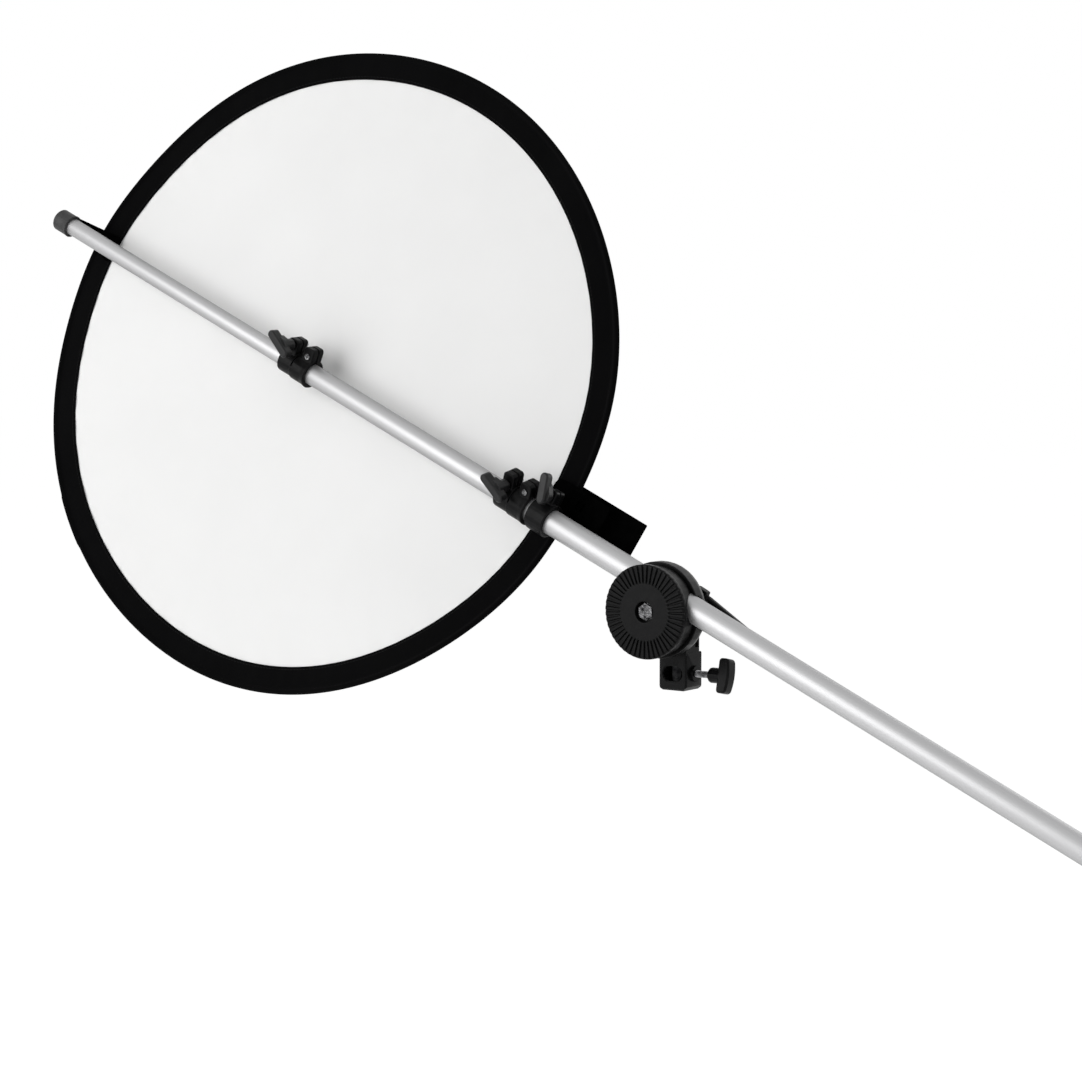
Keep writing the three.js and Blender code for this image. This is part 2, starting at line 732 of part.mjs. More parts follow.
// A tube lock whose mouth for the larger tube is at x = 0, with its lugs along +Z
function lockCollar(outerRadius, boltRise) {
  const innerRadius = outerRadius - tubeWall - tubePlay;
  const radius = outerRadius + lockWall;
  const lugTop = outerRadius + lugRise + lockWall;
  const clampEnd = -lockLength + clampZone;
  const clampRadius = innerRadius + clampWall;
  let body = rod('x', radius, clampEnd, 0)
    .add(rod('x', clampRadius, -lockLength, clampEnd))
    .add(lug(clampLugMiddle - lugWidth / 2, clampLugMiddle + lugWidth / 2, lugTop))
    .add(lug(-lugWidth, 0, lugTop));
  body = body.add(turned('x', [
    [0, -lockLip], [radius, -lockLip], [radius + lockFlare, -lockFlare], [radius + lockFlare, 0], [0, 0],
  ]));
  body = body.subtract(rod('x', innerRadius + gap, -lockLength - overrun, overrun));
  body = body.subtract(rod('x', outerRadius + gap, -lockSeat - gap, overrun));
  body = body.subtract(lugSplit(-lockLength - overrun, overrun, lugTop));
  const slotSide = radius + overrun;
  const slotFloor = radius - lockSlotDepth;
  body = body.subtract(box(clampEnd, clampEnd + lockSlot, -slotSide, slotSide, slotFloor, lugTop + overrun));
  const screwPlace = outerRadius + lockScrewRise;
  const seat = lugHalfDepth - lockScrewSink;
  return body.subtract(boltBore(lockBoltRadius, clampLugMiddle, innerRadius + boltRise))
    .subtract(boltBore(lockScrewRadius, -lugWidth / 2, screwPlace))
    .subtract(rod('y', lockScrewHeadRadius + gap, -lugHalfDepth - overrun, -seat,
      [-lugWidth / 2, 0, screwPlace], smallSides));
}

// A lever whose hinge is the Y axis and whose long arm points along +X; its front is -Y
function wingLever(hubStart, hubLength, reach, tail) {
  const bladeBack = -hubStart - hubLength;
  const bladeFront = bladeBack - leverDepth;
  const hub = turned('y', [
    [0, bladeBack - leverDepth / 2], [leverHubRadius, bladeBack - leverDepth / 2],
    [leverHubRadius, -hubStart - leverNeckLength], [leverNeckRadius, -hubStart - leverNeckLength],
    [leverNeckRadius, -hubStart], [0, -hubStart],
  ], [0, 0, 0], smallSides);
  const blade = extruded('y', taperedBar(-tail, reach, leverWidth / 2, leverWidth / 2),
    bladeFront, bladeBack, leverEdge, leverCurve);
  const root = extruded('y', taperedBar(0, reach / 2, leverHubRadius, leverWidth / 2),
    bladeBack - leverDepth / 2, bladeBack + leverDepth / 4, 0, leverCurve);
  const socketEnd = -hubStart - leverSocket - gap;
  return hub.add(blade).add(root)
    .subtract(rod('y', lockBoltRadius + gap, socketEnd, -hubStart + overrun, [0, 0, 0], smallSides));
}

// A bolt along Y from its hexagonal head behind the lugs to its end in the lever
function leverBolt(back, front) {
  return hexagon('y', boltHeadAcross, back, back + boltHeadHeight)
    .add(rod('y', lockBoltRadius, -front, back + boltHeadHeight / 2, [0, 0, 0], smallSides));
}

// A pan head with a cross, sunk in the front lug, and a shank that runs through to its nut
function fixedScrew(back) {
  const seat = -lugHalfDepth + lockScrewSink - gap;
  const top = seat - lockScrewHeadHeight;
  const half = lockScrewHeadRadius - lockScrewCross;
  const arm = lockScrewCross / 2;
  const shank = rod('y', lockScrewRadius, (top + seat) / 2, back + lockNutHeight, [0, 0, 0], smallSides);
  return rod('y', lockScrewHeadRadius, top, seat, [0, 0, 0], smallSides)
    .add(shank)
    .subtract(box(-half, half, top - overrun, top + lockScrewCross, -arm, arm))
    .subtract(box(-arm, arm, top - overrun, top + lockScrewCross, -half, half));
}

function fixedNut(back) {
  const bore = lockScrewRadius + fineGap;
  const end = back + lockNutHeight;
  return hexagon('y', lockNutAcross, back, end)
    .subtract(rod('y', bore, back - overrun, end + overrun, [0, 0, 0], smallSides));
}

function addLock(name, outerRadius, x, lean, boltRise, leverAngle) {
  const lock = group(armGroup);
  lock.position.x = x;
  lock.rotation.x = lean;
  place(lock, `${name}_lock_collar`, lockCollar(outerRadius, boltRise), blackPlastic);
  const face = lugHalfDepth + gap;
  const clamp = group(lock);
  clamp.position.set(clampLugMiddle, 0, outerRadius - tubeWall - tubePlay + boltRise);
  place(clamp, `${name}_lock_bolt`, leverBolt(face, face + leverSocket), steel);
  const lever = group(clamp);
  lever.rotation.y = -leverAngle;
  place(lever, `${name}_lock_lever`, wingLever(face, leverHubLength, leverReach, leverTail), blackPlastic);
  const fixed = group(lock);
  fixed.position.set(-lugWidth / 2, 0, outerRadius + lockScrewRise);
  place(fixed, `${name}_lock_screw`, fixedScrew(face), steel);
  place(fixed, `${name}_lock_nut`, fixedNut(face), steel);
}

addLock('lower', outerTubeRadius, lowerLockPlace, lowerLockLean, lowerBoltRise, lowerLeverAngle);
addLock('upper', midTubeRadius, upperLockPlace, upperLockLean, upperBoltRise, upperLeverAngle);

// Slide collar that carries the rim clip

function slideCollar() {
  const lugTop = slideRadius + lugRise;
  const lean = THREE.MathUtils.radToDeg(slideLean + discTurn);
  const middle = (slideStart + slideEnd) / 2;
  const ring = rod('x', slideRadius, slideStart, slideEnd)
    .add(lug(middle - lugWidth / 2, middle + lugWidth / 2, lugTop))
    .subtract(lugSplit(slideStart - overrun, slideEnd + overrun, lugTop))
    .subtract(boltBore(lockBoltRadius, middle, slideRadius + slideBoltRise))
    .rotate([lean, 0, 0]);
  const plateFace = rimRear + gap;
  const footBack = slideRadius + footThickness;
  const foot = box(slideStart, webStart + webLength, 0, footBack, -webHalfWidth, webHalfWidth);
  const web = box(webStart, webStart + webLength, 0, plateFace - gap, -webHalfWidth, webHalfWidth);
  let body = ring.add(foot).add(web);
  body = body.subtract(rod('x', outerTubeRadius + gap + slideBushWall + gap, slideStart - overrun,
    webStart + webLength + overrun));
  const pin = [webStart + pinSetback, rimFront - gap - jawThickness / 2, 0];
  const [pinLow, pinHigh] = [webHalfWidth - pinSetback, webHalfWidth + overrun];
  body = body.subtract(rod('z', pinRadius + fineGap, pinLow, pinHigh, pin, smallSides));
  const [screwTip, screwTop] = [plateFace - clipScrewLength - gap, plateFace + overrun];
  for (const x of clipScrewPlaces()) {
    body = body.subtract(rod('y', clipScrewRadius + fineGap, screwTip, screwTop, [x, 0, 0], smallSides));
  }
  return body;
}

function clipScrewPlaces() {
  return [webStart + webLength / 4, webStart + (3 * webLength) / 4];
}

function slideBush() {
  const inner = outerTubeRadius + gap;
  const outer = inner + slideBushWall;
  const flange = outer + slideBushWall;
  const start = slideStart - gap - slideBushWall;
  return turned('x', [
    [flange, start], [flange, slideStart - gap], [outer, slideStart - gap], [outer, slideEnd],
    [inner, slideEnd], [inner, start], [flange, start],
  ]);
}

function clipPlate() {
  const front = rimRear + gap;
  const back = front + plateThickness;
  const [x0, x1] = [webStart - plateReach, webStart + plateTail];
  const pin = [webStart + pinSetback, rimFront - gap - jawThickness / 2];
  let body = extruded('y', roundedRectangle(x0, x1, -plateLow, plateHigh, plateCorner), front, back);
  const tab = new THREE.Shape();
  tab.moveTo(pin[0] - knuckleRadius, -front - overrun / 2);
  tab.lineTo(pin[0] + knuckleRadius, -front - overrun / 2);
  tab.absarc(pin[0], -pin[1], knuckleRadius, 0, Math.PI);
  tab.closePath();
  const tabSolid = extruded('z', tab, jawHigh + gap, jawHigh + gap + earThickness).rotate([180, 0, 0]);
  body = body.add(tabSolid.translate([0, 0, 2 * (jawHigh + gap) + earThickness]));
  const [pinLow, pinHigh] = [jawHigh - overrun, plateHigh + overrun];
  body = body.subtract(rod('z', pinRadius + fineGap, pinLow, pinHigh, [pin[0], pin[1], 0], smallSides));
  for (const x of clipScrewPlaces()) {
    body = body.subtract(screwShape(x, front, back, gap));
  }
  return body;
}

// A countersunk screw along Y, its head flush with the back of what it holds
function screwShape(x, front, back, clearance) {
  const head = clipScrewHead + clearance;
  const shank = clipScrewRadius + clearance;
  const top = back - fineGap + (clearance > 0 ? overrun : 0);
  const neck = back - fineGap - (clipScrewHead - clipScrewRadius);
  return turned('y', [
    [0, front - clipScrewLength], [shank, front - clipScrewLength], [shank, neck],
    [head, back - fineGap], [head, top + fineGap / 2], [0, top + fineGap / 2],
  ], [x, 0, 0], smallSides);
}

function clipScrew(x) {
  const front = rimRear + gap;
  return screwShape(x, front, front + plateThickness, 0);
}

// Side view of the clip's jaw in X and depth, extruded across the arm
function clipJaw() {
  const back = rimFront - gap;
  const front = back - jawThickness;
  const pin = [webStart + pinSetback, (front + back) / 2];
  const nose = webStart - jawReach;
  const tailEnd = pin[0] + jawTail;
  const side = new THREE.Shape();
  side.moveTo(nose + jawThickness, front);
  side.lineTo(pin[0], front);
  side.lineTo(tailEnd, front - jawTailLift);
  side.lineTo(tailEnd, front - jawTailLift + plateThickness);
  side.lineTo(pin[0] + knuckleRadius, back);
  side.lineTo(nose + jawThickness / 2, back);
  side.lineTo(nose, back - jawThickness / 2);
  side.closePath();
  let body = extruded('z', side, jawLow, jawHigh);
  const outline = new THREE.Shape();
  outline.moveTo(nose, jawLow);
  outline.lineTo(tailEnd, jawLow);
  const round = 2 * jawThickness;
  outline.absarc(tailEnd - round, jawHigh + jawFlare - round, round, 0, Math.PI / 2);
  outline.lineTo(pin[0] + knuckleRadius, jawHigh);
  outline.absarc(nose + round, jawHigh - round, round, Math.PI / 2, Math.PI);
  outline.closePath();
  body = body.intersect(extruded('y', outline, front - jawTailLift - overrun, back + overrun));
  body = body.add(rod('z', knuckleRadius, jawLow, jawHigh, [pin[0], pin[1], 0], smallSides)
    .intersect(box(nose, tailEnd, front - overrun, back + overrun, jawLow, jawHigh)));
  const ribStart = webStart - jawRibPitch;
  for (const x of [ribStart, ribStart - jawRibPitch]) {
    body = body.add(box(x - jawRib, x, front - jawRib, front + jawRib, jawLow, jawLow + jawRibLength));
  }
  const middle = (jawLow + jawHigh) / 2;
  const [notchStart, notchEnd] = [pin[0] - knuckleRadius - gap, pin[0] + knuckleRadius + 2 * springWire];
  body = body.subtract(box(notchStart, notchEnd, front - overrun - jawTailLift, back + overrun,
    middle - springNotch / 2, middle + springNotch / 2));
  const [pinLow, pinHigh] = [jawLow - overrun, jawHigh + overrun];
  return body.subtract(rod('z', pinRadius + fineGap, pinLow, pinHigh, [pin[0], pin[1], 0], smallSides));
}

function jawPin() {
  const pin = [webStart + pinSetback, rimFront - gap - jawThickness / 2, 0];
  return rod('z', pinRadius, webHalfWidth - pinSetback + gap, jawHigh + gap + earThickness, pin, smallSides);
}

// Torsion spring: a helix round the pin whose legs press the jaw's tail and the plate
class SpringPath extends THREE.Curve {
  getPoint(share) {
    const radius = pinRadius + 2 * gap + springWire;
    const length = springTurns * 2 * springWire * springPitchShare;
    const middle = (jawLow + jawHigh) / 2;
    const pin = [webStart + pinSetback, rimFront - gap - jawThickness / 2];
    const angle = Math.PI / 2 + 2 * Math.PI * springTurns * share;
    return new THREE.Vector3(pin[0] + radius * Math.cos(angle), pin[1] + radius * Math.sin(angle),
      middle + length * (share - 1 / 2));
  }
}

function wireSection() {
  const section = new THREE.Shape();
  section.absarc(0, 0, springWire, 0, 2 * Math.PI);
  return section;
}

function jawSpring() {
  const stepsPerTurn = 8;
  const coil = solid(new THREE.ExtrudeGeometry(wireSection(), {
    steps: stepsPerTurn * springTurns,
    extrudePath: new SpringPath(),
    curveSegments: wireSides,
    bevelEnabled: false,
  }));
  const path = new SpringPath();
  const [low, high] = [path.getPoint(0), path.getPoint(1)];
  const lowLeg = rod('x', springWire, low.x - springWire, low.x + springLeg, [0, low.y, low.z], wireSides);
  const highEnd = [0, high.y, high.z];
  const highLeg = rod('x', springWire, high.x - springWire, high.x + springLeg, highEnd, wireSides);
  return coil.add(lowLeg).add(highLeg);
}

place(clipGroup, 'slide_bush', slideBush(), blackPlastic);
place(clipGroup, 'slide_collar', slideCollar(), blackPlastic);
place(clipGroup, 'clip_plate', clipPlate(), matteRubber);
clipScrewPlaces().forEach((x, i) => place(clipGroup, `clip_screw_${i + 1}`, clipScrew(x), steel));
place(clipGroup, 'clip_jaw', clipJaw(), blackPlastic);
place(clipGroup, 'jaw_pin', jawPin(), steel);
place(clipGroup, 'jaw_spring', jawSpring(), steel);

const slideClamp = group(armGroup);
slideClamp.rotation.x = slideLean;
const slideBoltGroup = group(slideClamp);
slideBoltGroup.position.set((slideStart + slideEnd) / 2, 0, slideRadius + slideBoltRise);
place(slideBoltGroup, 'slide_bolt', leverBolt(lugHalfDepth + gap, lugHalfDepth + gap + leverSocket), steel);
const slideLeverGroup = group(slideBoltGroup);
slideLeverGroup.rotation.y = -clipLeverAngle;
place(slideLeverGroup, 'slide_lever',
  wingLever(lugHalfDepth + gap, slideLeverHubLength, slideLeverReach, slideLeverTail), blackPlastic);

// End cap that turns on the inner tube, and the hook that holds the far side of the rim

function endCap() {
  const bore = innerTubeRadius + gap;
  const end = capStart + capLength;
  const body = turned('x', [
    [0, capStart], [capRadius - capEdge, capStart], [capRadius, capStart + capEdge],
    [capRadius, end - 2 * capLip], [capRadius + capLip, end - capLip], [capRadius, end],
    [bore, end], [bore, capStart + capFloor], [0, capStart + capFloor],
  ]);
  return body.subtract(rod('y', clipScrewRadius + gap, innerTubeRadius - tubeWall, capRadius + overrun,
    [endScrewPlace(), 0, 0], smallSides));
}

function endScrewPlace() {
  return hookStart + hookStem / 2;
}

function endHook() {
  const leafBack = rimFront - gap;
  const leafFront = leafBack - hookThickness;
  const rearFront = rimRear + gap;
  const rearBack = rearFront + hookThickness;
  const side = new THREE.Shape();
  side.moveTo(hookStart, 0);
  side.lineTo(hookStart + hookStem - hookCorner, 0);
  side.lineTo(hookStart + hookStem - hookCorner, leafFront - hookCorner);
  side.lineTo(hookStart + hookStem, leafFront);
  side.lineTo(hookWebEnd + hookReach, leafFront);
  side.lineTo(hookWebEnd + hookReach, leafBack);
  side.lineTo(hookWebEnd, leafBack);
  side.lineTo(hookWebEnd, rearFront);
  side.lineTo(hookWebEnd + hookBackReach, rearFront);
  side.lineTo(hookWebEnd + hookBackReach, rearBack);
  side.lineTo(hookWebStart + hookCorner, rearBack);
  side.lineTo(hookWebStart, rearBack - hookCorner);
  side.lineTo(hookWebStart, leafBack);
  side.lineTo(hookStart + hookCorner, leafBack);
  side.lineTo(hookStart, leafBack - hookCorner);
  side.closePath();
  const far = hookWebEnd + hookReach;
  const outline = new THREE.Shape();
  outline.moveTo(hookStart, -hookNarrow);
  outline.lineTo(hookStart + hookStem, -hookNarrow);
  outline.lineTo(far - hookCorner, -hookWide);
  outline.lineTo(far, -hookWide + hookCorner);
  outline.lineTo(far, hookWide - hookCorner);
  outline.lineTo(far - hookCorner, hookWide);
  outline.lineTo(hookStart, hookShoulder);
  outline.closePath();
  const body = extruded('z', side, -hookWide, hookWide)
    .intersect(extruded('y', outline, -overrun, rearBack + overrun));
  return body.subtract(rod('x', capRadius + capLip + gap, hookStart - overrun, far + overrun))
    .subtract(turned('y', [
      [0, 0], [clipScrewRadius + gap, 0],
      [clipScrewRadius + gap, leafBack - (clipScrewHead - clipScrewRadius) - 2 * gap],
      [clipScrewHead + gap, leafBack - 2 * gap],
      [clipScrewHead + gap, leafBack + overrun], [0, leafBack + overrun],
    ], [endScrewPlace(), 0, 0], smallSides));
}

function endHookScrew() {
  const back = rimFront - gap - gap;
  return turned('y', [
    [0, innerTubeRadius + gap], [clipScrewRadius, innerTubeRadius + gap],
    [clipScrewRadius, back - (clipScrewHead - clipScrewRadius)], [clipScrewHead, back], [0, back],
  ], [endScrewPlace(), 0, 0], smallSides);
}

place(clipGroup, 'end_cap', endCap(), blackPlastic);
place(clipGroup, 'end_hook', endHook(), matteRubber);
place(clipGroup, 'end_hook_screw', endHookScrew(), steel);

// Reflector disc: cloth panel, sewn rim, spring-steel hoop and its ferrule

const discCentre = [discPlace, discBehind, discOffset];
const hoopRadius = discRadius - rimBack - pocketHalfRadial;

// The rim's section: two layers of tape that part to take the panel and round the hoop
function rimBinding() {
  const inner = discRadius - bindingWidth;
  const slot = panelHalfThickness + gap;
  const face = slot + clothWall;
  const [pocketIn, pocketOut] = [hoopRadius - pocketHalfRadial, hoopRadius + pocketHalfRadial];
  const neck = pocketIn - pocketHalfAxial;
  return turned('y', [
    [inner, -slot], [inner, -face], [neck, -face], [pocketIn, -rimHalf], [pocketOut, -rimHalf],
    [discRadius, -pocketHalfAxial / 2], [discRadius, pocketHalfAxial / 2], [pocketOut, rimHalf],
    [pocketIn, rimHalf], [neck, face], [inner, face], [inner, slot], [neck, slot],
    [pocketIn, pocketHalfAxial], [pocketOut, pocketHalfAxial], [pocketOut, -pocketHalfAxial],
    [pocketIn, -pocketHalfAxial], [neck, -slot], [inner, -slot],
  ], discCentre, fineSides);
}

function panel() {
  return rod('y', discRadius - panelInset, -panelHalfThickness, panelHalfThickness, discCentre, fineSides);
}

function hoopRing(halfRadial, halfAxial) {
  const [inner, outer] = [hoopRadius - halfRadial, hoopRadius + halfRadial];
  return sleeve('y', inner, outer, -halfAxial, halfAxial, discCentre, fineSides);
}

// A block round the hoop's joint, straight below the disc's centre
function hoopJoint(length) {
  return box(discPlace - length / 2, discPlace + length / 2, discBehind - rimHalf, discBehind + rimHalf,
    discOffset - discRadius, discOffset - discRadius / 2);
}

place(clipGroup, 'reflector_panel', panel(), whiteCloth);
place(clipGroup, 'rim_binding', rimBinding(), blackCloth);
place(clipGroup, 'steel_hoop', hoopRing(hoopRadial / 2, hoopAxial / 2).subtract(hoopJoint(hoopCut)), steel);
place(clipGroup, 'hoop_ferrule', hoopRing(ferruleHalfRadial, ferruleHalfAxial)
  .subtract(hoopRing(hoopRadial / 2 + fineGap, hoopAxial / 2 + fineGap))
  .intersect(hoopJoint(ferruleLength)), brass);

export default root;
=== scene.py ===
# %% [markdown]
# A pop-up reflector on its holder arm
#
# The real object is a white cloth disc, 600 mm across, sprung open by a steel hoop in its sewn
# black rim. Two clips hold the rim on a telescopic aluminium arm, and a tilting head grips the arm.
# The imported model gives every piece's place and size. This script gives each piece its finished
# form and its material, so the first cell only loads the model and notes how big it is.

# %% Load the model
import json
import math

import bmesh
import bpy
import numpy as np
from mathutils import Matrix, Vector


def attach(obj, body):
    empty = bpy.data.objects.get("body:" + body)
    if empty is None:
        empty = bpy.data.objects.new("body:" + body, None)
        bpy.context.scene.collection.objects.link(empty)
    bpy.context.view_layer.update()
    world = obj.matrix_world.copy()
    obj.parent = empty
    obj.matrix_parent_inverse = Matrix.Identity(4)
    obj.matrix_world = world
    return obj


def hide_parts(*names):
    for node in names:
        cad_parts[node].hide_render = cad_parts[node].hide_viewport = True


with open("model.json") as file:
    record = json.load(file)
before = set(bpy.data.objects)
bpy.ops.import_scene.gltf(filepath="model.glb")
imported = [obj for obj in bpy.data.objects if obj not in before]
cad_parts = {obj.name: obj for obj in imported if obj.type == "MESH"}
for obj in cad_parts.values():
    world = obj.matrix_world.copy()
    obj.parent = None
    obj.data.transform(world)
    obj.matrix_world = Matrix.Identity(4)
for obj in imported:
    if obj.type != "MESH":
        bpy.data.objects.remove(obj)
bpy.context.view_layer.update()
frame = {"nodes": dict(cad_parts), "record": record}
nodes = frame["nodes"]
body_of_node = {
    node: body for body, names in frame["record"]["behaviour"]["bodies"].items() for node in names
}

# %% [markdown]
# Measuring before making
#
# A new piece has to sit exactly where the model's piece sits. Sizes could be typed again here, but
# then they would drift apart when the model changes. So the helpers below read a piece's corners
# as one numpy array and measure along any direction. The three directions are those of the arm:
# down its length, from the tube towards the disc, and across the arm in the disc's plane.

# %% Directions of the arm and a way to measure
MM = 0.001
ARM_TILT = math.radians(24.5)
DISC_TURN = math.radians(16.4)

along = np.array([math.cos(ARM_TILT), 0.0, -math.sin(ARM_TILT)])
upright = np.array([math.sin(ARM_TILT), 0.0, math.cos(ARM_TILT)])
sideways = np.array([0.0, 1.0, 0.0])
x_axis = np.array([1.0, 0.0, 0.0])
z_axis = np.array([0.0, 0.0, 1.0])
behind = sideways * math.cos(DISC_TURN) - upright * math.sin(DISC_TURN)
across = upright * math.cos(DISC_TURN) + sideways * math.sin(DISC_TURN)


def corners_of(node):
    """All corners of a piece as an array with one row (x, y, z) each, in metres."""
    mesh = nodes[node].data
    flat = np.empty(len(mesh.vertices) * 3)
    mesh.vertices.foreach_get("co", flat)
    return flat.reshape(-1, 3)


def reach(node, direction):
    """Lowest and highest value of (corner . direction) over the piece."""
    far = corners_of(node) @ direction
    return float(far.min()), float(far.max())


def middle_of(node):
    """The point halfway between the piece's ends along the arm's three directions."""
    halves = [sum(reach(node, d)) / 2 for d in (along, behind, across)]
    return halves[0] * along + halves[1] * behind + halves[2] * across


tube_axis = middle_of("inner_tube")
disc_centre = middle_of("reflector_panel")
panel_radius = (reach("reflector_panel", across)[1] - reach("reflector_panel", across)[0]) / 2
rim_radius = (reach("rim_binding", across)[1] - reach("rim_binding", across)[0]) / 2
print("panel radius %.4f m, rim radius %.4f m" % (panel_radius, rim_radius))

# %% [markdown]
# From numbers to a mesh
#
# Most new pieces are grids: rows and columns of points worked out by a formula. One function turns
# any such grid into faces. A direction that closes on itself, like going round a tube, is joined
# from the last column back to the first. Each face corner also gets a UV, so a woven pattern can
# follow the surface in real millimetres.

# %% Grid to mesh
def finish_piece(name, piece_mesh, body, material, smooth_below=None):
    """Puts a mesh in the scene as a piece that rides on a body and wears a material."""
    piece = bpy.data.objects.new(name, piece_mesh)
    bpy.context.scene.collection.objects.link(piece)
    piece_mesh.materials.clear()
    piece_mesh.materials.append(material)
    piece_mesh.polygons.foreach_set("use_smooth", np.ones(len(piece_mesh.polygons), bool))
    if smooth_below is not None:
        piece_mesh.set_sharp_from_angle(angle=math.radians(smooth_below))
    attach(piece, body)
    return piece


def cell_corners(table):
    """The four corner values of every cell of a table, in the order (i, j), (i+1, j), ..."""
    return np.stack([table[:-1, :-1], table[1:, :-1], table[1:, 1:], table[:-1, 1:]], 2)


def grid_mesh(name, grid, uv=None, close_rows=False, close_columns=False, cap_ends=False):
    """Mesh of a grid of points.

    grid is rows x columns x 3. Face (i, j) joins points (i, j), (i+1, j), (i+1, j+1), (i, j+1).
    uv is (rows + 1 if closed) x (columns + 1 if closed) x 2, so a seam has two values.
    """
    rows, columns = grid.shape[:2]
    index = np.arange(rows * columns).reshape(rows, columns)
    if close_rows:
        index = np.vstack([index, index[:1]])
    if close_columns:
        index = np.hstack([index, index[:, :1]])
    faces = cell_corners(index).reshape(-1, 4).tolist()
    if cap_ends:
        faces += [index[0, :columns].tolist(), index[-1, :columns][::-1].tolist()]
    mesh = bpy.data.meshes.new(name)
    mesh.from_pydata(grid.reshape(-1, 3).tolist(), [], faces)
    if uv is not None:
        layer = mesh.uv_layers.new(name="UVMap")
        corners = cell_corners(uv).reshape(-1, 2)
        extra = np.zeros((len(layer.data) - len(corners), 2))
        layer.data.foreach_set("uv", np.vstack([corners, extra]).ravel())
    work = bmesh.new()
    work.from_mesh(mesh)
    bmesh.ops.remove_doubles(work, verts=work.verts, dist=1e-7)
    bmesh.ops.recalc_face_normals(work, faces=work.faces)
    work.to_mesh(mesh)
    work.free()
    return mesh


print("grid_mesh is ready")

# %% [markdown]
# Materials
#
# Every finish is made of shader nodes, with no pictures. A small helper starts each material with
# the Principled shader and sets its plain numbers on the shader's own sockets. Patterns are then
# added on top: a noise that varies roughness, a fine bump for moulded grain, or crossed waves for
# a weave. Object coordinates are in metres, so a scale of 2000 gives details of half a millimetre.

# %% Material helpers
NOISE_LOW, NOISE_HIGH = 0.3, 0.7      # a noise texture seldom leaves this range
RAMP_LOW, RAMP_HIGH = 0.35, 0.65


def new_material(name, color, roughness, metallic=0.0, **sockets):
    """A Principled material and its node tree; extra sockets are set by name."""
    material = bpy.data.materials.new(name)
    material.use_nodes = True
    shader = material.node_tree.nodes["Principled BSDF"]
    shader.inputs["Base Color"].default_value = (*color, 1)
    shader.inputs["Roughness"].default_value = roughness
    shader.inputs["Metallic"].default_value = metallic
    for socket, value in sockets.items():
        shader.inputs[socket.replace("_", " ")].default_value = value
    return material


def add_node(material, kind, **values):
    """A shader node with its settings and unlinked sockets filled in."""
    node = material.node_tree.nodes.new(kind)
    for key, value in values.items():
        if hasattr(node, key):
            setattr(node, key, value)
        else:
            node.inputs[key.replace("_", " ")].default_value = value
    return node


def link(material, start, out, end, into):
    """Joins one node's output to another's input."""
    material.node_tree.links.new(start.outputs[out], end.inputs[into])


def shader_of(material):
    """The material's Principled shader."""
    return material.node_tree.nodes["Principled BSDF"]


def place_of(material, source="Object", turn=(0, 0, 0), stretch=(1, 1, 1)):
    """Coordinates in metres (or UVs); the pattern itself is stretched and then turned."""
    coordinates = add_node(material, "ShaderNodeTexCoord")
    mapping = add_node(material, "ShaderNodeMapping", vector_type="TEXTURE",
                       Rotation=turn, Scale=stretch)
    link(material, coordinates, source, mapping, "Vector")
    return mapping


def vary(material, mapping, scale, socket, low, high, detail=3.0):
    """Noise of the given scale, spread over low..high, into one of the shader's sockets."""
    noise = add_node(material, "ShaderNodeTexNoise", Scale=scale, Detail=detail)
    span = add_node(material, "ShaderNodeMapRange",
                    From_Min=NOISE_LOW, From_Max=NOISE_HIGH, To_Min=low, To_Max=high)
    link(material, mapping, "Vector", noise, "Vector")
    link(material, noise, "Fac", span, "Value")
    link(material, span, "Result", shader_of(material), socket)


def tint(material, mapping, scale, dark, light, detail=4.0):
    """Noise that shifts the base colour between two close colours."""
    noise = add_node(material, "ShaderNodeTexNoise", Scale=scale, Detail=detail)
    ramp = add_node(material, "ShaderNodeValToRGB")
    stops = zip(ramp.color_ramp.elements, (RAMP_LOW, RAMP_HIGH), (dark, light))
    for stop, position, color in stops:
        stop.position = position
        stop.color = (*color, 1)
    link(material, mapping, "Vector", noise, "Vector")
    link(material, noise, "Fac", ramp, "Fac")
    link(material, ramp, "Color", shader_of(material), "Base Color")


def bump(material, height_node, height_out, strength, distance):
    """Turns a height pattern into a bump of the given depth in metres."""
    node = add_node(material, "ShaderNodeBump", Strength=strength, Distance=distance)
    link(material, height_node, height_out, node, "Height")
    link(material, node, "Normal", shader_of(material), "Normal")


print("material helpers are ready")

# %% [markdown]
# Moulded plastic, rubber and metals
#
# The clamps and levers are glass-filled nylon: black, with a soft sheen and a fine spark-eroded
# grain from the mould. The clip plates have a dead matte coating. The tubes are drawn aluminium
# with a clear anodised finish, so their faint lines run along the tube. Nuts and lever bolts are
# zinc plated, the small screws are a darker steel, and the head's bolt has a rough forged face.

# %% Hard materials
CLOUD_SCALE, PATCH_SCALE = 90.0, 160.0      # blotches of about 11 mm and 6 mm
CRYSTAL_SCALE, POLISH_SCALE = 300.0, 420.0  # crystals of about 3 mm and 2 mm
LINE_SCALE = 1500.0                         # drawn lines 0.7 mm apart
MOULD_GRAIN = 0.06 * MM
DRAWN_LINE_LENGTH = 100                     # as many times longer than wide


def moulded_plastic(name, color, rough_low, rough_high, specular, grain=1600):
    """Black nylon: cloudy roughness, fine grain bump, and colour a touch greyer in patches."""
    material = new_material(name, color, (rough_low + rough_high) / 2, Specular_IOR_Level=specular)
    mapping = place_of(material)
    darker, lighter = (tuple(share * c for c in color) for share in (0.8, 1.25))
    vary(material, mapping, CLOUD_SCALE, "Roughness", rough_low, rough_high)
    tint(material, mapping, PATCH_SCALE, darker, lighter)
    fine = add_node(material, "ShaderNodeTexNoise", Scale=grain, Detail=2.0)
    link(material, mapping, "Vector", fine, "Vector")
    bump(material, fine, "Fac", 0.25, MOULD_GRAIN)
    return material


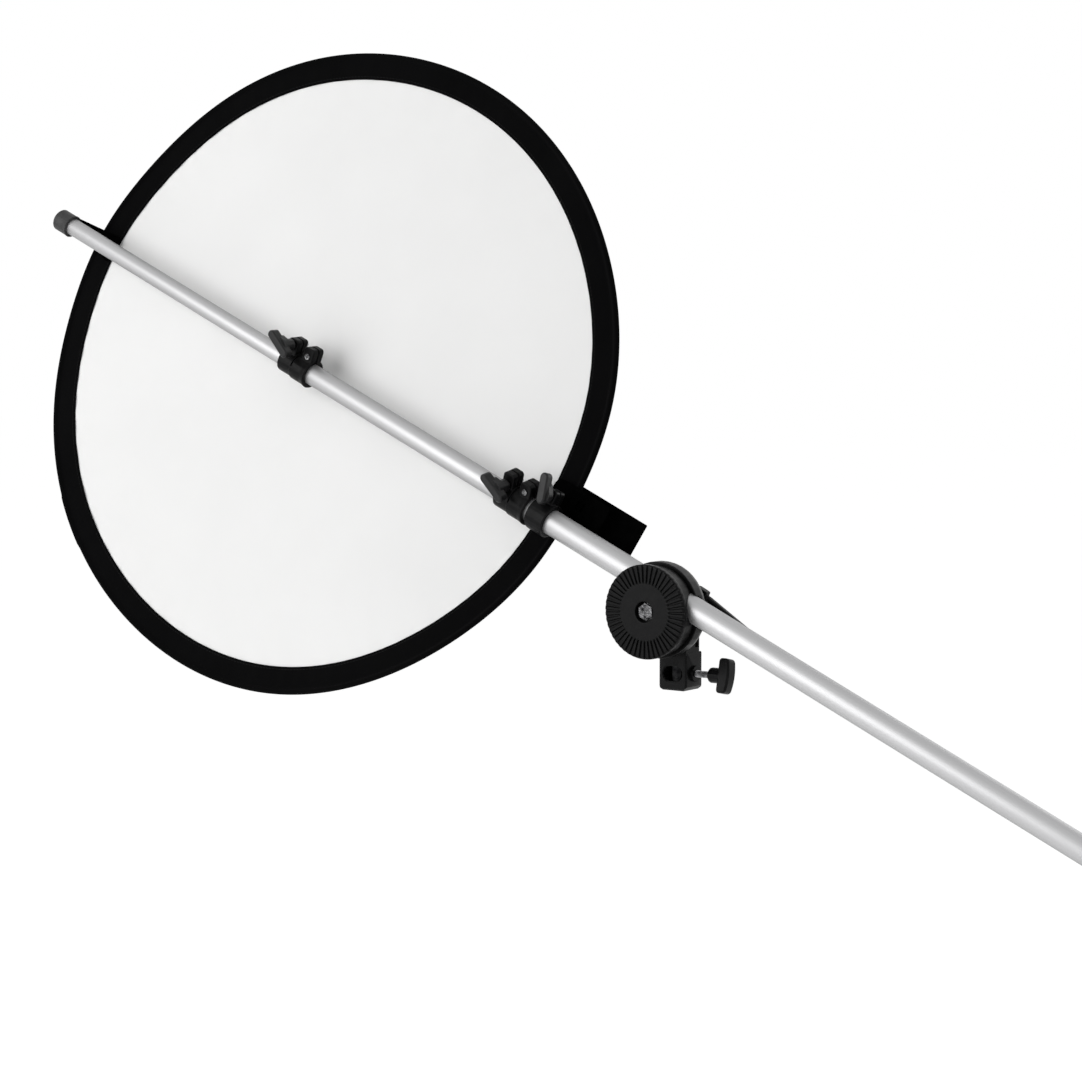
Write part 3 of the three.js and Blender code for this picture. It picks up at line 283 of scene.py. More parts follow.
black_nylon = moulded_plastic("black_nylon", (0.004, 0.004, 0.0042), 0.3, 0.42, 0.075)
# a lighter, glossier copy of the black nylon for the levers: painted light, where the lamp falls on them
lever_nylon_painted_light = moulded_plastic("black_nylon_levers_painted_light", (0.012, 0.012, 0.0125), 0.32, 0.44, 0.2)
cap_rubber = moulded_plastic("cap_rubber", (0.026, 0.026, 0.0265), 0.46, 0.6, 0.35)
matte_coating = moulded_plastic("matte_coating", (0.0015, 0.0015, 0.0015), 0.85, 0.95, 0.0,
                                grain=2600)

anodised = new_material("anodised_aluminium", (0.46, 0.46, 0.465), 0.48, metallic=0.8,
                        Specular_Tint=(0.5, 0.5, 0.5, 1))
drawn = place_of(anodised, turn=(0, ARM_TILT, 0), stretch=(DRAWN_LINE_LENGTH, 1, 1))
vary(anodised, drawn, LINE_SCALE, "Roughness", 0.45, 0.51, detail=2.0)
tint(anodised, drawn, LINE_SCALE, (0.445, 0.445, 0.45), (0.475, 0.475, 0.48))
lines = add_node(anodised, "ShaderNodeTexNoise", Scale=3200.0, Detail=2.0)
link(anodised, drawn, "Vector", lines, "Vector")
bump(anodised, lines, "Fac", 0.06, 0.02 * MM)


def plated_steel(name, dark, light, rough_low, rough_high):
    """A bare or plated metal: fine crystals shift both its colour and its polish."""
    middle = tuple((a + b) / 2 for a, b in zip(dark, light))
    material = new_material(name, middle, (rough_low + rough_high) / 2, metallic=1.0)
    mapping = place_of(material)
    vary(material, mapping, POLISH_SCALE, "Roughness", rough_low, rough_high)
    tint(material, mapping, CRYSTAL_SCALE, dark, light)
    return material


zinc = plated_steel("zinc_plated_steel", (0.3, 0.3, 0.31), (0.45, 0.45, 0.46), 0.24, 0.4)
forged = plated_steel("forged_bolt_steel",
                      (0.004, 0.004, 0.0045), (0.12, 0.12, 0.123), 0.2, 0.36)
# a darker steel for the small screws and the clamping screw's thread
screw_steel = plated_steel("darker_screw_steel",
                           (0.05, 0.05, 0.052), (0.26, 0.26, 0.265), 0.16, 0.32)
black_oxide = plated_steel("black_oxide_steel",
                           (0.02, 0.02, 0.022), (0.045, 0.045, 0.047), 0.26, 0.4)
# near-black steel for the socket's liner: painted shade, for the shade inside the empty socket behind
# the window
liner_painted_shade = plated_steel("steel_liner_painted_shade",
                          (0.005, 0.005, 0.0055), (0.014, 0.014, 0.0145), 0.14, 0.24)

pitted = add_node(forged, "ShaderNodeTexNoise", Scale=700.0, Detail=1.0)
link(forged, place_of(forged), "Vector", pitted, "Vector")
bump(forged, pitted, "Fac", 0.8, 0.6 * MM)

brass = plated_steel("turned_brass", (0.5, 0.37, 0.16), (0.66, 0.52, 0.27), 0.28, 0.42)
hoop_steel = plated_steel("blued_spring_steel", (0.24, 0.25, 0.29), (0.36, 0.36, 0.38), 0.28, 0.42)
print(len(bpy.data.materials), "materials so far")

# %% [markdown]
# Cloth
#
# The disc is a tight nylon cloth and its rim is a woven tape. A weave is two sets of ridges at
# right angles, so two wave patterns are added up into a bump. They read the piece's own UVs, which
# are laid out in millimetres, so the threads keep their size and run with the cloth.

# %% Woven materials
THREAD_DEPTH = 0.1 * MM
CLOTH_PATCH_SCALE = 14.0      # uneven dye in patches of about 70 mm


def woven(name, color, thread, strength, roughness, sheen, rib=1.0, dark=0.94):
    """Two crossed waves of the given thread pitch in millimetres make the weave's bump."""
    material = new_material(name, color, roughness, Specular_IOR_Level=0.0,
                            Sheen_Weight=sheen, Sheen_Roughness=0.5)
    coordinates = place_of(material, source="UV")
    waves = []
    for direction, pitch in (("X", thread), ("Y", thread * rib)):
        # a wave texture repeats every 2 pi / (20 * scale) units
        wave = add_node(material, "ShaderNodeTexWave", bands_direction=direction,
                        Scale=math.pi / (10 * pitch))
        link(material, coordinates, "Vector", wave, "Vector")
        waves.append(wave)
    both = add_node(material, "ShaderNodeMath", operation="ADD")
    material.node_tree.links.new(waves[0].outputs["Fac"], both.inputs[0])
    material.node_tree.links.new(waves[1].outputs["Fac"], both.inputs[1])
    bump(material, both, "Value", strength, THREAD_DEPTH)
    tint(material, place_of(material), CLOTH_PATCH_SCALE, tuple(dark * c for c in color), color)
    return material


white_nylon = woven("white_nylon", (0.9, 0.9, 0.895), 0.35, 0.12, 0.75, 0.0, dark=0.985)
black_tape = woven("black_tape", (0.0036, 0.0036, 0.0038), 0.9, 0.5, 0.9, 0.04, rib=0.6, dark=0.8)
black_thread = new_material("black_thread", (0.006, 0.006, 0.0065), 0.6, Specular_IOR_Level=0.1)
tint(black_thread, place_of(black_thread), 900.0, (0.004, 0.004, 0.004), (0.01, 0.01, 0.0105))
print("cloth materials ready")

# %% [markdown]
# How the disc bends
#
# A sprung hoop is never quite flat: the one in the picture waves a few millimetres in front of and
# behind its plane, which shows as a slightly uneven rim. The wave is a short sum of sines round
# the rim. It fades to nothing at the two clips, which hold the rim in the plane, and it grows with
# the square of the radius, as a stretched sheet does.

# %% The disc's wave
WAVE_COS = np.array([0.0, 2.5, -0.72, 2.7, 0.27])    # mm, for 1, 2, 3, 4 and 5 waves round the rim
WAVE_SIN = np.array([0.0, 3.6, 3.29, 0.71, 0.34])
CLIP_REACH = 0.3      # sine of the angle over which a clip holds the rim flat


def disc_wave(radius, angle):
    """Distance behind the flat plane: sum of c_k cos(k a) + s_k sin(k a), times the square of
    (radius / rim radius), times a factor that is 0 at the clips (a = 0 and 180 degrees)."""
    count = np.arange(1, 6)
    turns = np.asarray(angle)[..., None] * count
    wave = (WAVE_COS * np.cos(turns) + WAVE_SIN * np.sin(turns)).sum(-1) * MM
    free = 1 - np.exp(-(np.sin(angle) / CLIP_REACH) ** 2)
    return wave * free * (radius / rim_radius) ** 2


def on_disc(radius, angle, lift=0.0):
    """Point at this radius and angle of the disc, lifted behind its waved surface by lift."""
    out = radius * np.cos(angle)
    up = radius * np.sin(angle)
    back = disc_wave(radius, angle) + lift
    return disc_centre + out[..., None] * along + up[..., None] * across + back[..., None] * behind


rim_wave = disc_wave(rim_radius, np.linspace(0, 2 * np.pi, 721)) / MM
print("the rim waves from %.1f to %.1f mm" % (rim_wave.min(), rim_wave.max()))

# %% [markdown]
# The cloth panel
#
# A round sheet could be a fan of triangles from its middle, but that pinches the weave and the
# shading at the pole. A square grid pressed into a circle has no pole: the point (u, v) goes to
# (u sqrt(1 - v2/2), v sqrt(1 - u2/2)). Short puckers gather along the seam, where the tape pulls
# the cloth in, and die out a few centimetres inside it.

# %% Panel
SEAM_INSET = 25 * MM
PUCKER_HEIGHT, PUCKER_FADE = 0.35 * MM, 16 * MM
CREASE_WIDTH, CREASE_FADE = 7 * MM, 80 * MM
# where each crease meets the rim (radians), how it bends on its way in, and its height in mm
CREASES = ((2.35, 0.25, 0.5), (2.6, -0.2, 0.4), (-0.75, 0.2, 0.45), (0.45, -0.15, 0.35))
PANEL_POINTS = 150


def panel_grid(count):
    """Square grid (u, v) in -1..1 pressed into the disc, with puckers near the edge.

    Pucker = height * sin(61 a + 2 sin(7 a)) * exp(-(distance inside the seam) / fade),
    plus four faint creases, each a bell curve across a line that runs in from the rim.
    """
    line = np.linspace(-1, 1, count)
    u, v = np.meshgrid(line, line, indexing="ij")
    x = u * np.sqrt(1 - v ** 2 / 2)
    y = v * np.sqrt(1 - u ** 2 / 2)
    radius = np.hypot(x, y) * panel_radius
    angle = np.arctan2(y, x)
    inside = np.clip(rim_radius - SEAM_INSET - radius, 0, None)
    ripple = np.sin(61 * angle + 2 * np.sin(7 * angle))
    puckers = PUCKER_HEIGHT * ripple * np.exp(-inside / PUCKER_FADE)
    creases = np.zeros_like(radius)
    for place, bend, height in CREASES:
        off = (angle - place - bend * (1 - radius / panel_radius)) * radius
        creases += height * MM * np.exp(-(off / CREASE_WIDTH) ** 2) * np.exp(-inside / CREASE_FADE)
    under_tape = np.clip((rim_radius - 22 * MM - radius) / (4 * MM), 0, 1)
    points = on_disc(radius, angle, (puckers + creases) * under_tape)
    uv = np.stack([x, y], -1) * panel_radius / MM
    return points, uv


panel_points, panel_uv = panel_grid(PANEL_POINTS)
panel_mesh = grid_mesh("cloth_panel", panel_points, panel_uv)
panel = finish_piece("cloth_panel", panel_mesh, "rim_clip", white_nylon)
thickness = panel.modifiers.new("thickness", "SOLIDIFY")
thickness.thickness = 0.5 * MM
thickness.offset = 0.0
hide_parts("reflector_panel")
print("cloth panel", len(panel_mesh.polygons), "faces")

# %% [markdown]
# The sewn rim
#
# The rim is one tape folded over the cloth's edge and round the hoop, so its section is two layers
# that lie flat on the cloth and part in a bead at the outer edge. The section is drawn once, as a
# closed line, and carried round the disc. Small waves in the layers show where the tape is eased
# round the curve, and the tape's overlapped end makes a thicker stretch low on the far side.

# %% Rim tape
tape_width = 25.3 * MM
layer_thickness = 0.5 * MM
hoop_radius = rim_radius - 2.7 * MM
nose_inset = 2.4 * MM
join_start, join_end = 2 * np.pi + np.radians([-129.3, -119.0])
JOIN_SHARPNESS = 300
SECTION_POINTS, TAPE_STEPS = 22, 720


def tape_section(count):
    """Closed line of the folded tape: (radius, offset from the disc plane), two layers.

    The outer face stands off by 1.25 mm plus a bead of 1.75 mm * exp(-((r - hoop) / 2.1 mm)^2);
    the inner face runs 0.5 mm inside it. Past the hoop both layers close in a half ellipse.
    """
    r = rim_radius - tape_width + (tape_width - nose_inset) * np.linspace(0, 1, count) ** 0.8
    stand = 1.25 * MM + 1.75 * MM * np.exp(-((r - hoop_radius) / (2.1 * MM)) ** 2)
    turn = np.linspace(0, np.pi, 12)[1:-1]
    faces = []
    for height, nose_length in ((stand, 2.35 * MM), (stand - layer_thickness, 1.8 * MM)):
        nose = np.stack([r[-1] + nose_length * np.sin(turn), height[-1] * np.cos(turn)], -1)
        top, below = np.stack([r, height], -1), np.stack([r, -height], -1)
        faces.append(np.concatenate([top, nose, below[::-1]]))
    return np.concatenate([faces[0], faces[1][::-1]])


section = tape_section(SECTION_POINTS)
turns = np.linspace(0, 2 * np.pi, TAPE_STEPS, endpoint=False)
radius, angle = np.meshgrid(section[:, 0], turns, indexing="ij")
stand = np.repeat(section[:, 1:], len(turns), axis=1)
ease = 0.12 * MM * np.sin(97 * angle + 3 * np.sin(5 * angle)) + 0.07 * MM * np.sin(41 * angle + 1.3)
flat_part = np.clip((hoop_radius - 3 * MM - radius) / (6 * MM), 0, 1)
joined = 0.5 * (np.tanh((angle - join_start) * JOIN_SHARPNESS)
                - np.tanh((angle - join_end) * JOIN_SHARPNESS))
stand = stand + np.sign(stand) * (ease * flat_part + 0.35 * MM * joined)
radius = radius + 0.5 * MM * joined * (radius > hoop_radius)
tape_points = on_disc(radius, angle, stand)
steps = np.diff(np.vstack([section, section[:1]]), axis=0)
girth = np.concatenate([[0], np.cumsum(np.hypot(*steps.T))]) / MM
lap = np.linspace(0, 2 * np.pi * rim_radius / MM, len(turns) + 1)
tape_uv = np.stack(np.meshgrid(girth, lap, indexing="ij"), -1)
tape_mesh = grid_mesh("rim_tape", tape_points, tape_uv, close_rows=True, close_columns=True)
tape = finish_piece("rim_tape", tape_mesh, "rim_clip", black_tape)
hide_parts("rim_binding")
print("rim tape", len(tape_mesh.polygons), "faces")

# %% [markdown]
# Stitches
#
# A lockstitch runs round the rim near the tape's inner edge, seen on both faces. Each stitch is a
# tiny spindle of a few faces. All of them are made at once, by adding every stitch's place to one
# small grid, which is far quicker than making a thousand objects.

# %% Stitches
STITCH_SHARE = 0.82           # the rest of each pitch is the gap between two stitches
STITCH_HEIGHT = 1.38 * MM
STITCH_PITCH, STITCH_HALF_WIDTH = 3.4 * MM, 0.28 * MM


def stitch_ring(radius, pitch, half_width, side):
    """Spindles in a row on a circle: width = half_width * sqrt(sin(pi t)) along each stitch."""
    count = int(2 * np.pi * radius / pitch)
    start = np.arange(count) * 2 * np.pi / count
    t = np.linspace(0.0, 1.0, 6)
    around = np.linspace(0, 2 * np.pi, 5, endpoint=False)
    wide = half_width * np.sqrt(np.sin(np.pi * np.clip(t, 0.02, 0.98)))
    where = start[:, None] + (t[None, :] - 0.5) * STITCH_SHARE * 2 * np.pi / count
    slant = radius + half_width * 0.8 * (t - 0.5)
    r = slant[None, :, None] + wide[None, :, None] * np.cos(around)
    a = where[:, :, None] + 0 * around
    lift = side * STITCH_HEIGHT + 0.8 * wide[None, :, None] * np.sin(around)
    return on_disc(r + 0 * a, a, lift + 0 * a)


def many_grids(name, grids):
    """One mesh of many small tubes, each grid (rows x columns) closed round its columns."""
    count, rows, columns = grids.shape[:3]
    index = np.arange(rows * columns).reshape(rows, columns)
    index = np.hstack([index, index[:, :1]])
    quads = cell_corners(index).reshape(-1, 4)
    steps = np.arange(count)[:, None, None] * rows * columns
    faces = (quads[None] + steps).reshape(-1, 4).tolist()
    ends = np.stack([index[0, :columns], index[-1, :columns][::-1]])
    faces += (ends[None] + steps).reshape(-1, columns).tolist()
    mesh = bpy.data.meshes.new(name)
    mesh.from_pydata(grids.reshape(-1, 3).tolist(), [], faces)
    work = bmesh.new()
    work.from_mesh(mesh)
    bmesh.ops.recalc_face_normals(work, faces=work.faces)
    work.to_mesh(mesh)
    work.free()
    return mesh


seam_radius = rim_radius - tape_width + 2.6 * MM
seams = [stitch_ring(seam_radius, STITCH_PITCH, STITCH_HALF_WIDTH, side) for side in (1, -1)]
seam_mesh = many_grids("rim_stitches", np.concatenate(seams))
stitches = finish_piece("rim_stitches", seam_mesh, "rim_clip", black_thread)
print("stitches", sum(len(s) for s in seams))

# %% [markdown]
# The hoop inside
#
# A flat strip of spring steel runs inside the bead, and a ferrule joins its two ends. Neither
# shows, but both are kept, and they follow the same wave so that the tape still wraps them.

# %% Hoop and ferrule
def carried_round(line, start, end, count):
    """A section, as (radius, offset) points, repeated at even steps round part of the disc."""
    r, a = np.meshgrid(line[:, 0], np.linspace(start, end, count), indexing="ij")
    return on_disc(r, a, np.repeat(line[:, 1:], count, axis=1)).transpose(1, 0, 2)


def rounded_box_line(middle, half_wide, half_deep, corner, steps=4):
    """Closed line of a rectangle with round corners, as (radius, offset) points."""
    turn = np.concatenate([np.linspace(q, q + np.pi / 2, steps) for q in np.arange(4) * np.pi / 2])
    sign_r = np.repeat([1, -1, -1, 1], steps)
    sign_d = np.repeat([1, 1, -1, -1], steps)
    return np.stack([
        middle + sign_r * (half_wide - corner) + corner * np.cos(turn),
        sign_d * (half_deep - corner) + corner * np.sin(turn),
    ], -1)


bottom = -np.pi / 2
half_gap = 0.5 * MM / hoop_radius
strip = rounded_box_line(hoop_radius, 0.5 * MM, 1.8 * MM, 0.2 * MM)
hoop_grid = carried_round(strip, bottom + half_gap, bottom + 2 * np.pi - half_gap, 361)
hoop_mesh = grid_mesh("hoop_strip", hoop_grid, close_columns=True, cap_ends=True)
hoop = finish_piece("hoop_strip", hoop_mesh, "rim_clip", hoop_steel, smooth_below=40)
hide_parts("steel_hoop")

half_sleeve = 15 * MM / hoop_radius
outer_line = rounded_box_line(hoop_radius, 1.05 * MM, 2.4 * MM, 0.3 * MM)
inner_line = rounded_box_line(hoop_radius, 0.7 * MM, 2.0 * MM, 0.2 * MM)
outer_wall = carried_round(outer_line, bottom - half_sleeve, bottom + half_sleeve, 9)
inner_wall = carried_round(inner_line, bottom - half_sleeve, bottom + half_sleeve, 9)
sleeve_grid = np.concatenate([outer_wall, inner_wall[::-1]])
sleeve_mesh = grid_mesh("ferrule_sleeve", sleeve_grid, close_rows=True, close_columns=True)
ferrule = finish_piece("ferrule_sleeve", sleeve_mesh, "rim_clip", brass, smooth_below=40)
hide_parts("hoop_ferrule")
print("hoop and ferrule follow the wave")

# %% [markdown]
# The tubes
#
# Three drawn tubes slide in one another. Each is a ring section carried along the arm: a closed
# line of radius and length with a small round on every cut edge, turned about the arm's axis. A
# turned form is smoother and lighter than a rounded box pushed through a boolean.

# %% Tubes
TUBE_SIDES = 96
CUT_EDGE = 0.25 * MM


def turned_about_arm(name, line, sides, body, material):
    """Solid of revolution: point = axis + t along + r (cos a upright + sin a sideways)."""
    a = np.linspace(0, 2 * np.pi, sides, endpoint=False)
    r, t = line[:, 0][:, None], line[:, 1][:, None]
    grid = (tube_axis - (tube_axis @ along) * along
            + (t + 0 * a)[..., None] * along
            + (r * np.cos(a))[..., None] * upright
            + (r * np.sin(a))[..., None] * sideways)
    mesh = grid_mesh(name, grid, close_rows=True, close_columns=True)
    return finish_piece(name, mesh, body, material, smooth_below=50)


def tube_line(inner, outer, low, high, edge, steps=4):
    """Closed section of a tube's wall with rounded edges, as (radius, length) points."""
    quarter = np.linspace(0, np.pi / 2, steps)
    corner = np.stack([np.cos(quarter), np.sin(quarter)], -1) * edge
    return np.concatenate([
        [outer - edge, high - edge] + corner,
        ([inner + edge, high - edge] + corner[::-1] * [-1, 1]),
        ([inner + edge, low + edge] - corner),
        ([outer - edge, low + edge] + corner[::-1] * [1, -1]),
    ])


for node in ("outer_tube", "mid_tube", "inner_tube"):
    low, high = reach(node, along)
    offset = corners_of(node) - tube_axis
    far = np.linalg.norm(offset - (offset @ along)[:, None] * along, axis=1)
    line = tube_line(far.min(), far.max(), low, high, CUT_EDGE)
    tube = turned_about_arm(node + "_drawn", line, TUBE_SIDES, body_of_node[node], anodised)
    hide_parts(node)
    sizes = (far.min() / MM, far.max() / MM, (high - low) / MM)
    print(node, "radius %.2f..%.2f mm, length %.0f mm" % sizes)

# %% [markdown]
# Softening the edges
#
# No moulded or machined edge is perfectly sharp: a thin line of light runs along each one. The
# model's pieces have the right form but knife edges. A copy of each is cleaned into flat faces,
# and a narrow bevel rounds only the edges that turn by more than 35 degrees.

# %% Rounded copies
SHARP_ANGLE = math.radians(35)


def clean_copy(node, name):
    """A copy of a piece's mesh with split corners joined and flat areas made single faces."""
    mesh = nodes[node].data.copy()
    mesh.name = name
    work = bmesh.new()
    work.from_mesh(mesh)
    bmesh.ops.remove_doubles(work, verts=work.verts, dist=2e-6)
    bmesh.ops.dissolve_limit(work, angle_limit=math.radians(0.5),
                             verts=work.verts, edges=work.edges)
    work.to_mesh(mesh)
    work.free()
    return mesh


def softened(node, width, material, segments=2):
    """The piece with its sharp edges rounded by a bevel of this width in millimetres."""
    name = node + "_finished"
    mesh = clean_copy(node, name)
    piece = finish_piece(name, mesh, body_of_node[node], material, smooth_below=35)
    bevel = piece.modifiers.new("edges", "BEVEL")
    bevel.width = width * MM
    bevel.segments = segments
    bevel.limit_method = "ANGLE"
    bevel.angle_limit = SHARP_ANGLE
    bevel.harden_normals = True
    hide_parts(node)
    return piece


def moulded(node, voxel, rounds, material):
    """The piece recast on a fine grid and relaxed, so every edge gets a soft moulded radius."""
    name = node + "_finished"
    mesh = clean_copy(node, name)
    piece = finish_piece(name, mesh, body_of_node[node], material)
    recast = piece.modifiers.new("recast", "REMESH")
    recast.mode = "VOXEL"
    recast.voxel_size = voxel * MM
    recast.use_smooth_shade = True
    relax = piece.modifiers.new("relax", "SMOOTH")
    relax.factor = 0.5
    relax.iterations = rounds
    shape = piece.evaluated_get(bpy.context.evaluated_depsgraph_get())
    baked = bpy.data.meshes.new_from_object(shape)
    piece.modifiers.clear()
    piece.data = baked
    baked.name = name
    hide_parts(node)
    return piece


print("two ways to round an edge are ready")

# %% [markdown]
# Head, receiver and handle
#
# The two jaws and the handle are fat mouldings with generous radii, so they are recast and relaxed;
# the ribbed plate is drawn on its own below. The receiver block keeps crisper edges, so it gets the
# narrow bevel.

# %% Head
made = [
    moulded("front_jaw", 0.5, 4, black_nylon),
    moulded("rear_jaw", 0.5, 4, black_nylon),
    moulded("clamp_handle", 0.6, 6, black_nylon),
    softened("receiver", 0.5, black_nylon, segments=3),
    moulded("socket_knob", 0.35, 5, black_nylon),
    softened("friction_disc", 0.2, matte_coating),
    softened("socket_liner", 0.2, liner_painted_shade),
    softened("head_bolt", 0.3, forged),
    softened("handle_nut", 0.25, zinc),
    softened("handle_washer", 0.2, zinc),
    softened("screw_insert", 0.15, brass),
]
print(len(made), "pieces in the head")

# %% [markdown]
# The knob's barrelled wing
#
# The knob's wing isn't a straight bar: its outer face bows out to fit the fingers. The recast copy
# has plenty of vertices, so they are moved along X by a parabola over the wing's length, fading
# out towards its inner face.

# %% Knob
def bow_outwards(piece, start_x, bow):
    """dx = bow (1 - 2 (z / half length)^2), times how far x has come from start_x to the face."""
    flat = np.empty(3 * len(piece.data.vertices))
    piece.data.vertices.foreach_get("co", flat)
    spots = flat.reshape(-1, 3)
    middle_z = (spots[:, 2].min() + spots[:, 2].max()) / 2
    half_long = (spots[:, 2].max() - spots[:, 2].min()) / 2
    share = np.clip((spots[:, 0] - start_x) / (spots[:, 0].max() - start_x), 0, 1)
    spots[:, 0] += bow * share * (1 - 2 * ((spots[:, 2] - middle_z) / half_long) ** 2)
    piece.data.vertices.foreach_set("co", spots.ravel())
    piece.data.update()


knob = bpy.data.objects["socket_knob_finished"]
wing_depth, wing_bow = 9 * MM, 1.2 * MM
bow_outwards(knob, reach("socket_knob", x_axis)[1] - wing_depth, wing_bow)
print("knob bowed by %.1f mm" % (wing_bow / MM))

# %% [markdown]
# The ribbed plate
#
# The plate that faces the camera has 48 radial grooves, so a hand can grip it. It is a turned
# section whose depth also depends on the angle: each groove is a smooth trench that starts at the
# edge of the plain middle and runs out through the rounded rim. The bolt's pocket is the hole in
# its middle, so the grid needs no pole.

# %% Ribbed plate
RIBS = 48
STEPS_PER_RIB = 12
GROOVE_DEPTH = 1.5 * MM
GROOVE_FLOOR, GROOVE_EDGE = 0.12, 0.3        # in rib pitches from the groove's middle
GROOVES_START, GROOVES_FULL = 0.6, 0.63      # in shares of the plate's radius


def smooth_step(x, low, high):
    """0 below low, 1 above high, and 3t^2 - 2t^3 between them."""
    t = np.clip((x - low) / (high - low), 0, 1)
    return t * t * (3 - 2 * t)


def quarter_round(radius, along_y, size, start, steps=5):
    """A quarter circle of this size round (radius, y), from the start angle on, clockwise."""
    turn = start - np.linspace(0, np.pi / 2, steps)
    return np.stack([radius + size * np.cos(turn), along_y + size * np.sin(turn)], -1)


def ribbed_plate():
    """Rows follow the section, columns the angle; groove(a) = 1 - step(|distance to groove|)."""
    front, back = reach("front_plate", sideways)
    left, right = reach("front_plate", x_axis)
    outer = (right - left) / 2
    centre = np.array([(left + right) / 2, 0.0, sum(reach("front_plate", z_axis)) / 2])
    off = (corners_of("front_plate") - centre)[:, [0, 2]]
    pocket = np.hypot(off[:, 0], off[:, 1]).min()
    small, rim = 0.4 * MM, 2.0 * MM
    face = np.linspace(pocket + small, outer - rim, 44)
    line = np.concatenate([
        quarter_round(pocket + small, back - small, small, np.pi)[::-1],
        quarter_round(pocket + small, front + small, small, -np.pi / 2)[::-1],
        np.stack([face, np.full_like(face, front)], -1)[1:],
        quarter_round(outer - rim, front + rim, rim, 0.0)[::-1][1:],
        quarter_round(outer - small, back - small, small, np.pi / 2)[::-1],
    ])
    columns = RIBS * STEPS_PER_RIB
    a = (np.arange(columns) + 0.5) * 2 * np.pi / columns
    r, t = line[:, :1], line[:, 1:]
    from_groove = np.abs((a * RIBS / (2 * np.pi)) % 1.0 - 0.5)
    trench = 1 - smooth_step(from_groove, GROOVE_FLOOR, GROOVE_EDGE)
    ribbed = smooth_step(r, GROOVES_START * outer, GROOVES_FULL * outer)
    ribbed = ribbed * (1 - smooth_step(t, front, front + rim))
    t = t + GROOVE_DEPTH * trench[None, :] * ribbed
    grid = (centre + (r * np.cos(a))[..., None] * along + (r * np.sin(a))[..., None] * upright
            + (t + 0 * a)[..., None] * sideways)
    return grid_mesh("ribbed_plate", grid, close_rows=True, close_columns=True)


plate_mesh = ribbed_plate()
plate = finish_piece("ribbed_plate", plate_mesh, body_of_node["front_plate"], black_nylon,
                     smooth_below=50)
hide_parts("front_plate")
print("ribbed plate", len(plate_mesh.polygons), "faces")

# %% [markdown]
# Locks, slide and clips
#
# Each tube lock is a split collar, a wing lever on a bolt, and a small cross screw with its nut.
# The levers' black is a little lighter and glossier, as painted light where the lamp falls on them. The
# clip plate, its jaw and the end hook have the matte coating, and the tubes' two caps are a greyer
# rubber.

# %% Locks and clips
made = []
for lock in ("lower_lock", "upper_lock"):
    made += [
        moulded(lock + "_collar", 0.34, 3, black_nylon),
        moulded(lock + "_lever", 0.28, 4, lever_nylon_painted_light),
        softened(lock + "_bolt", 0.15, zinc),
        softened(lock + "_screw", 0.12, screw_steel),
        softened(lock + "_nut", 0.2, zinc),
    ]
made += [
    moulded("slide_collar", 0.32, 3, black_nylon),
    moulded("slide_lever", 0.28, 4, lever_nylon_painted_light),
    softened("slide_bolt", 0.15, black_oxide),
    softened("slide_bush", 0.2, black_nylon),
    softened("clip_plate", 0.35, matte_coating),
    softened("clip_screw_1", 0.15, matte_coating),
    softened("clip_screw_2", 0.15, matte_coating),
    softened("clip_jaw", 0.3, matte_coating),
    softened("jaw_pin", 0.15, matte_coating),
    moulded("end_cap", 0.35, 3, cap_rubber),
    softened("end_hook", 0.3, matte_coating),
    softened("end_hook_screw", 0.15, black_oxide),
    softened("tail_cap", 0.4, cap_rubber),
    softened("mid_tube_guide", 0.2, black_nylon),
    softened("inner_tube_guide", 0.2, black_nylon),
]
print(len(made), "pieces on the arm")

# %% [markdown]
# Threads and springs
#
# The clamping screw shows its thread between the block and the knob. A thread is a turned rod
# whose radius depends on both the angle and the length: a ridge that moves one pitch for every
# turn. The jaw's torsion spring is the model's own coil, with its round wire smoothed.

# %% Screw and spring
THREAD_PITCH, THREAD_CUT = 1.0 * MM, 0.55 * MM


def threaded_rod(name, low, high, height, radius, pitch, depth, sides=36, per_pitch=8):
    """Rod along X: r = radius - depth * |2 frac(x / pitch - a / 2 pi) - 1|, with tapered ends.

    The ridge is stretched by 1.3 and clipped, so that its crest and root are narrow flats.
    """
    rows = int((high - low) / pitch * per_pitch) + 1
    x = np.linspace(low, high, rows)[:, None]
    a = np.linspace(0, 2 * np.pi, sides, endpoint=False)[None, :]
    phase = (x / pitch - a / (2 * np.pi)) % 1.0
    ridge = np.clip(np.abs(2 * phase - 1) * 1.3 - 0.15, 0, 1)
    r = radius - depth * ridge
    near_end = np.minimum(x - low, high - x)
    r = np.minimum(r, radius - 0.7 * depth + near_end)
    r = np.maximum(r, 0.2 * radius)
    grid = np.stack([x + 0 * a, r * np.cos(a), height + r * np.sin(a)], -1)
    return grid_mesh(name, grid, close_columns=True, cap_ends=True)


low, high = reach("socket_screw", x_axis)
bottom_z, top_z = reach("socket_screw", z_axis)
screw_mesh = threaded_rod("socket_screw_thread", low, high, (bottom_z + top_z) / 2,
                          (top_z - bottom_z) / 2, THREAD_PITCH, THREAD_CUT)
screw = finish_piece("socket_screw_thread", screw_mesh, "socket_screw", screw_steel,
                     smooth_below=60)
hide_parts("socket_screw")

wire_mesh = clean_copy("jaw_spring", "jaw_spring_wire")
spring = finish_piece("jaw_spring_wire", wire_mesh, "clip_jaw", matte_coating)
rounder = spring.modifiers.new("round wire", "SUBSURF")
rounder.levels = 1
rounder.render_levels = 1
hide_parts("jaw_spring")
print("screw and spring made")

# %% [markdown]
# Floor, light and background
#
# The object hangs from its socket, so the floor is well below it. A big soft lamp on the left, a
# little above the camera, gives the tubes their long highlight. A weak lamp on the right opens the
# shadows, and one behind lights the back of the cloth. The background is white because the world
# and the floor are coloured white for the camera, not because of stronger light.

